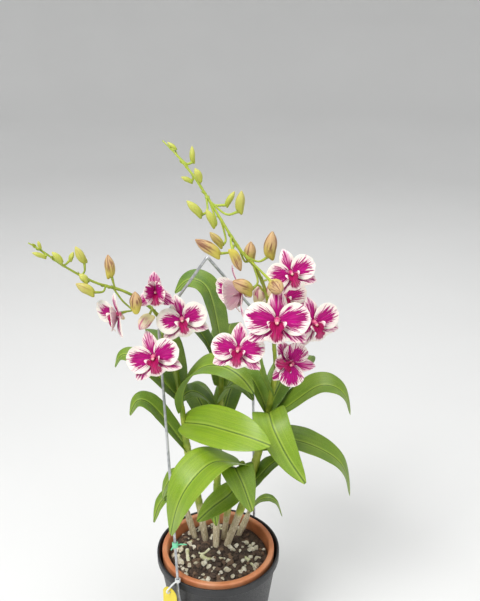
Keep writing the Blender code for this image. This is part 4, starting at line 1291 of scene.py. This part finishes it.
def flower(name, bloom, patterns, seed):
    """One bloom: three sepals, two broad petals, the lip, the column with its cap, and the chin behind."""
    place = bloom_place(bloom)
    shut = math.radians(bloom.shut)
    draw = random.Random(seed)
    petals, sepals, lip, column, chin, cap = patterns
    parts = []
    for k, (angle, length) in enumerate(SEPAL_TURNS):
        stand = tepal_place(angle + draw.uniform(-1.5, 1.5), -TEPAL_LIFT, SEPAL_SHARE * shut)
        sepal = copy_of(sepals[k % 2], "sepal", place @ stand @ Matrix.Scale(length, 4))
        parts.append(mark(sepal, seed=draw.uniform(0, 50)))
    for angle in PETAL_TURNS:
        stand = tepal_place(angle + draw.uniform(-1.5, 1.5), TEPAL_LIFT, shut)
        parts.append(mark(copy_of(draw.choice(petals), "petal", place @ stand), seed=draw.uniform(0, 50)))
    parts.append(mark(copy_of(lip, "lip", place), seed=draw.uniform(0, 50)))
    for pattern in (column, chin, cap):
        parts.append(mark(copy_of(pattern, "middle", place), seed=0.0))
    for part in parts:
        mark(part, flush=bloom.flush)
    ends = [place @ Vector(point) for point in (OVARY_END, (0, 0.06, -0.22), (0, 0.04, -0.08))]
    ovary = tube("ovary", ends, [1.3 * STEM_RADIUS, 1.5 * STEM_RADIUS, 0.00008 * bloom.length], 12)
    parts.append(mark(paint(ovary, stalk_skin), seed=0.0, flush=1.0))
    return seat(join(name + "_bloom", parts), name)


def flowers():
    """All the blooms, from three petals, two sepals and one lip, column, chin and cap."""
    petal = ("petal", PETAL_COLUMNS, 9, PETAL_WIDTH, petal_outline, petal_profile, 0.030)
    sepal = ("sepal", SEPAL_COLUMNS, 8, SEPAL_WIDTH, sepal_outline, sepal_profile, 0.014)
    petals = [tepal_pattern(*petal, (petal_face, petal_back), seed) for seed in (1, 2, 3)]
    sepals = [tepal_pattern(*sepal, (sepal_face, sepal_back), seed) for seed in (4, 5)]
    middle = (lip_pattern(6), *column_pattern())
    for seed, (name, bloom) in enumerate(BLOOMS.items(), 70):
        flower(name, bloom, (petals, sepals, *middle), seed)
    for pattern in (*petals, *sepals, *middle):
        bpy.data.objects.remove(pattern)


# Sprays

BUD_PROFILE = (
    (0.22, 0.0), (0.40, 0.05), (0.64, 0.12), (0.82, 0.22), (0.96, 0.36),
    (1.0, 0.52), (0.86, 0.68), (0.60, 0.82), (0.32, 0.92), (0.10, 1.0),
)
BUD_STEM = (0.0010, 0.0009, 0.0009, 0.0009, 0.0009, 0.0010, 0.0011, 0.0012, 0.0013)
BLOOM_STEM = (0.0010, *[0.0009] * 17, 0.0011)


def green(obj):
    """Gives a part of the spray the stalk's skin."""
    return mark(paint(obj, stalk_skin), seed=0.0, ripe=0.0)


def bud_pattern():
    """A bud one unit long along +Z and one in radius, with a chin, seams and a drawn-out tip."""
    bud = lathe("bud", BUD_PROFILE, 18)
    enter(bud)
    pick(bud, lambda corner: corner.co.z < 0.30 and corner.co.y < -0.25)
    move(y=-0.16, z=-0.05)
    pick(bud, lambda corner: corner.co.z < 0.10 and corner.co.y < -0.25)
    move(y=-0.22, z=-0.09)
    pick(bud, lambda corner: 0.2 < corner.co.z < 0.93 and corner.index % 6 == 0)
    stretch(0.90, 0.90, 1.0, (0, 0, 0))
    pick(bud, lambda corner: corner.co.z > 0.9)
    move(y=0.05)
    leave()
    finish_mesh(bud, rounding(1))
    if not bud.data.uv_layers:
        bud.data.uv_layers.new(name="UVMap")
    places = bud.data.uv_layers[0]
    for face in bud.data.polygons:
        corners = [bud.data.vertices[v].co for v in face.vertices]
        angles = [math.atan2(corner.y, corner.x) / (2 * math.pi) for corner in corners]
        for angle, loop, corner in zip(angles, face.loop_indices, corners):
            if angles[0] - angle > 0.5:
                angle += 1
            elif angle - angles[0] > 0.5:
                angle -= 1
            places.data[loop].uv = (angle, corner.z)
    return bud


def stem(points, radii):
    """A thin green stem along a smooth curve."""
    return green(tube("stem", smooth_path(points, even(len(radii) - 1)), radii, 10))


def bract(base, along, out):
    """A small pointed scale that clasps the stalk below a stem."""
    columns = (-1.0, -0.4, 0.4, 1.0)
    shares = even(4)
    length = 0.006
    steps = ((-0.0008, 0.0), (0.002, 0.0016), (0.0050, 0.0024))
    path = smooth_path([base + along * ahead + out * aside for ahead, aside in steps], shares)
    blade = flat_blade("bract", columns, shares, length, 0.0036, sepal_outline, lambda a: -0.5 * abs(a))
    lay_rows(blade, len(columns), shares, length, path, frames_along(path, out))
    return green(finish_mesh(blade, skin(0.0003), rounding(1)))


def spray(name, side, pattern):
    """A flower stalk with its buds, bracts and the stems of its blooms."""
    draw = random.Random(name)
    below, top = cane_path(CANES["cane_tall_" + side])[-2:]
    along = (top - below).normalized()
    stalk = [top + along * STALK_COLLAR] + [mm(point) for point in STALKS[side]]
    shares = even(90)
    path = [top + along * JOINT_GAP, *smooth_path(stalk, shares)]
    blooms = [bloom for bloom in BLOOMS.values() if bloom.stalk == side]
    leaving = [grown.share for grown in (*BUDS[side], *blooms)]
    radii = []
    for share in [0.0, *shares]:
        near = min(abs(share - each) for each in leaving)
        swelling = NODE_SWELLING * math.exp(-((near / 0.008) ** 2))
        radii.append(STALK_FOOT - STALK_TAPER * share**1.2 + swelling)
    parts = [green(tube(name, path, radii, 14))]

    def set_off(share, end):
        """Puts a bract where a stem leaves the stalk for its end, and gives that place."""
        start, ahead = smooth_path(stalk, [share, min(1.0, share + 0.01)])
        out = end - start
        way = (ahead - start).normalized()
        out = (out - way * out.dot(way)).normalized()
        parts.append(bract(start, way, out))
        return start

    for bud in BUDS[side]:
        base, tip = mm(bud.base), mm(bud.tip)
        start = set_off(bud.share, base)
        axis = (tip - base).normalized()
        bend = start.lerp(base, 0.6) - axis * 0.22 * (base - start).length
        parts.append(stem([start, bend, base + axis * 0.0006], BUD_STEM))
        chin = (base - start).normalized() * 0.6 - up(1)
        chin = (chin - axis * chin.dot(axis)).normalized()
        swing = axes(axis.cross(chin), -chin, axis).to_4x4()
        size = Matrix.Diagonal((bud.breadth / 2000, bud.breadth / 2000, (tip - base).length, 1))
        grown = copy_of(pattern, "bud", Matrix.Translation(base) @ swing @ size)
        parts.append(mark(grown, seed=draw.uniform(0, 50), ripe=bud.ripe))
    for bloom in blooms:
        place = bloom_place(bloom)
        end = place @ Vector(OVARY_END)
        start = set_off(bloom.share, end)
        away = (end - place @ Vector((0, 0.02, 0))).normalized()
        bend = end + away * 0.006
        middle = start.lerp(bend, 0.5) - up(0.08 * (bend - start).length)
        parts.append(stem([start, middle, bend, end + away * JOINT_GAP], BLOOM_STEM))
    return seat(join(name + "_grown", parts), name)


# Hanger, strap, tag and tie


def leg_points(leg):
    """The wire from its hook inside the cover pot to the top of the straight leg above the rim."""
    out = leg_direction(leg)
    wall = cover_radius(HOOK_Z)
    inside = wall - COVER_WALL - WIRE_RADIUS - 0.0007
    past_lip = COVER_LIP_RADIUS + WIRE_RADIUS + SEAT_GAP
    return [
        out * inside + up(HOOK_Z + HOOK_RISE),
        out * inside + up(HOOK_Z + 0.002),
        out * (inside + 0.0015) + up(HOOK_Z),
        out * (wall + 0.002) + up(HOOK_Z),
        out * (wall + 0.005) + up(HOOK_Z + 0.003),
        out * past_lip + up(COVER_HEIGHT - COVER_LIP_HEIGHT - 0.002),
        out * past_lip + up(LEG_TOP_Z),
    ]


def hanger_wire():
    """The one bent wire, from hook to hook over its peak."""
    peak = mm(WIRE_PEAK)
    path = []
    for leg, shoulder in enumerate(WIRE_SHOULDERS):
        foot = leg_points(leg)
        corner = mm(shoulder)
        half = foot + [foot[-1].lerp(corner, 0.98), corner.lerp(peak, 0.04), corner.lerp(peak, 0.95)]
        path += half + [peak] if leg == 0 else half[::-1]
    bent = rounded(path, 0.006)
    wire = tube("wire_bent", bent, [WIRE_RADIUS] * len(bent), 16)
    return seat(paint(wire, zinc), "hanger_wire")


def wire_ring(name, middle, along, height, thickness):
    """A ring that sits loosely round the wire."""
    inner = WIRE_RADIUS + SEAT_GAP
    outer = inner + thickness
    half = height / 2
    section = [(inner, -half), (outer, -half), (outer, half), (inner, half), (inner, -half)]
    ring = lathe(name, section, 32, True)
    finish_mesh(ring, soft_edges(0.00025))
    ring.data.transform(Matrix.Translation(middle) @ up(1).rotation_difference(along).to_matrix().to_4x4())
    return ring


def tag_place():
    """The middle of the tag's hole, the way out from the pot and the way along the tag's width."""
    out = leg_direction(0)
    aside = out.cross(up(1))
    top = leg_points(0)[-1] * Vector((1, 1, 0))
    return top + out * TAG_REACH + aside * TAG_ASIDE + up(TAG_TOP_Z - TAG_HOLE_DROP), out, aside


def plant_tag():
    """A blank tag with a rounded top and a round hole."""
    hole, _, aside = tag_place()
    half = TAG_WIDTH / 2
    hole_height = half - TAG_HOLE_DROP
    low = half + 0.002 - TAG_HEIGHT
    deselect()
    bpy.ops.mesh.primitive_cylinder_add(vertices=64, radius=half, depth=TAG_THICKNESS)
    disc = bpy.context.object
    bpy.ops.mesh.primitive_cube_add(
        size=1, location=(0, low / 2, 0), scale=(TAG_WIDTH, -low, TAG_THICKNESS)
    )
    strip = bpy.context.object
    bpy.ops.object.transform_apply(location=True, scale=True)
    finish_mesh(disc, combined("UNION", strip))
    bpy.data.objects.remove(strip)
    ends = [Vector((0, hole_height, side * 0.003)) for side in (-1, 1)]
    drill(disc, [tube("punch", ends, [TAG_HOLE_RADIUS] * 2, 24)])
    finish_mesh(disc, soft_edges(0.0002, 2, 0.9))
    disc.name = "tag_blank"
    swing = axes(aside, up(1), aside.cross(up(1))).to_4x4()
    disc.data.transform(Matrix.Translation(hole - up(hole_height)) @ swing)
    return seat(paint(disc, tag_yellow), "plant_tag")


def tag_strap():
    """A strap looped round the wire that passes through the tag's hole and ends in a bead."""
    hole, out, aside = tag_place()
    wire = leg_points(0)[-1] * Vector((1, 1, 0)) + up(LEG_TOP_Z - 0.0045)
    loop = wire_ring("loop", wire, up(1), 0.0034, 0.0011)
    path = smooth_path([
        wire + out * 0.0022,
        wire + out * 0.0062 + aside * 0.001 - up(0.001),
        hole + out * 0.0042 + up(0.004),
        hole + out * 0.0024,
        hole - out * 0.0012,
    ], even(24))
    tail = tube("tail", path, [0.0009] * 25, 12)
    bead_path = [hole - out * (0.0010 + 0.0020 * t) for t in even(6)]
    bead = tube("bead", bead_path, [0.0010, 0.0019, 0.0023, 0.0024, 0.0023, 0.0019, 0.0010], 16)
    return seat(paint(join("strap_looped", [loop, tail, bead]), strap_white), "tag_strap")


def green_tie():
    """A small clip round the front leg with two thin tails."""
    foot, corner = leg_points(0)[-1], mm(WIRE_SHOULDERS[0])
    along = (corner - foot).normalized()
    middle = foot + along * 0.034
    parts = [wire_ring("ring", middle, along, 0.005, 0.0013)]
    for reach in ((0.011, 0.004, -0.003), (-0.004, -0.003, -0.004)):
        way = Vector(reach)
        start = middle + way.normalized() * 0.0024
        bow = start.lerp(middle + way, 0.5) + up(0.0006)
        radii = [0.0008 - 0.0002 * t for t in even(8)]
        parts.append(tube("tail", smooth_path([start, bow, middle + way], even(8)), radii, 10))
    return seat(paint(join("tie_clipped", parts), tie_mint), "green_tie")


# Floor, light and camera

SENSOR = 36
CAMERA_PLACE = (0.0234, -0.6603, 0.6751)
CAMERA_TILT = 68
LAMPS = (
    ("key", (-0.8, -1.1, 2.0), 0.9, 40),
    ("fill", (1.5, -1.2, 0.9), 1.4, 8),
    ("top", (0.3, 0.5, 2.3), 1.6, 20),
)


def studio():
    """A wide pale floor that rises all round, soft lights and the camera."""
    profile = [(0.02, 0.0), (0.8, 0.0), (2.4, 0.0), (3.2, 0.12), (3.8, 0.55), (4.1, 1.3), (4.2, 3.2)]
    floor = lathe("floor", [(r, z - 0.0003) for r, z in profile], 96, True)
    enter(floor)
    pick(floor, lambda corner: corner.co.x**2 + corner.co.y**2 < 0.03**2)
    bpy.ops.mesh.edge_face_add()
    leave()
    finish_mesh(floor)
    pale = Finish("pale_floor", Roughness=0.7)
    paint(floor, pale.close(pale.place().grain(3.0).blend((0.74, 0.74, 0.73), (0.78, 0.78, 0.77))))

    world = bpy.context.scene.world or bpy.data.worlds.new("studio")
    bpy.context.scene.world = world
    world.use_nodes = True
    background = world.node_tree.nodes["Background"]
    background.inputs["Color"].default_value = (0.97, 0.98, 1.0, 1)
    background.inputs["Strength"].default_value = 0.48

    bpy.context.scene.view_settings.view_transform = "Standard"
    middle = Vector((0, 0, 0.32))
    for name, place, size, power in LAMPS:
        light = bpy.data.lights.new(name, "AREA")
        light.size = size
        light.energy = power
        lamp = bpy.data.objects.new(name, light)
        bpy.context.scene.collection.objects.link(lamp)
        lamp.location = place
        lamp.rotation_euler = (middle - Vector(place)).to_track_quat("-Z", "Y").to_euler()

    view = bpy.data.cameras.new("camera")
    view.sensor_width = SENSOR
    view.lens = SENSOR * 760 / 601
    camera = bpy.data.objects.new("camera", view)
    bpy.context.scene.collection.objects.link(camera)
    camera.location = CAMERA_PLACE
    camera.rotation_euler = (math.radians(CAMERA_TILT), 0, 0)
    bpy.context.scene.camera = camera


cover_pot()
grow_pot()
potting_mix()
for order, (name, cane) in enumerate(CANES.items()):
    leafy_cane(name, cane, random.Random(40 + order))
flowers()
bud = bud_pattern()
paint(bud, bud_skin)
for side in STALKS:
    spray("spray_" + side, side, bud)
bpy.data.objects.remove(bud)
hanger_wire()
tag_strap()
plant_tag()
green_tie()
studio()
deselect()
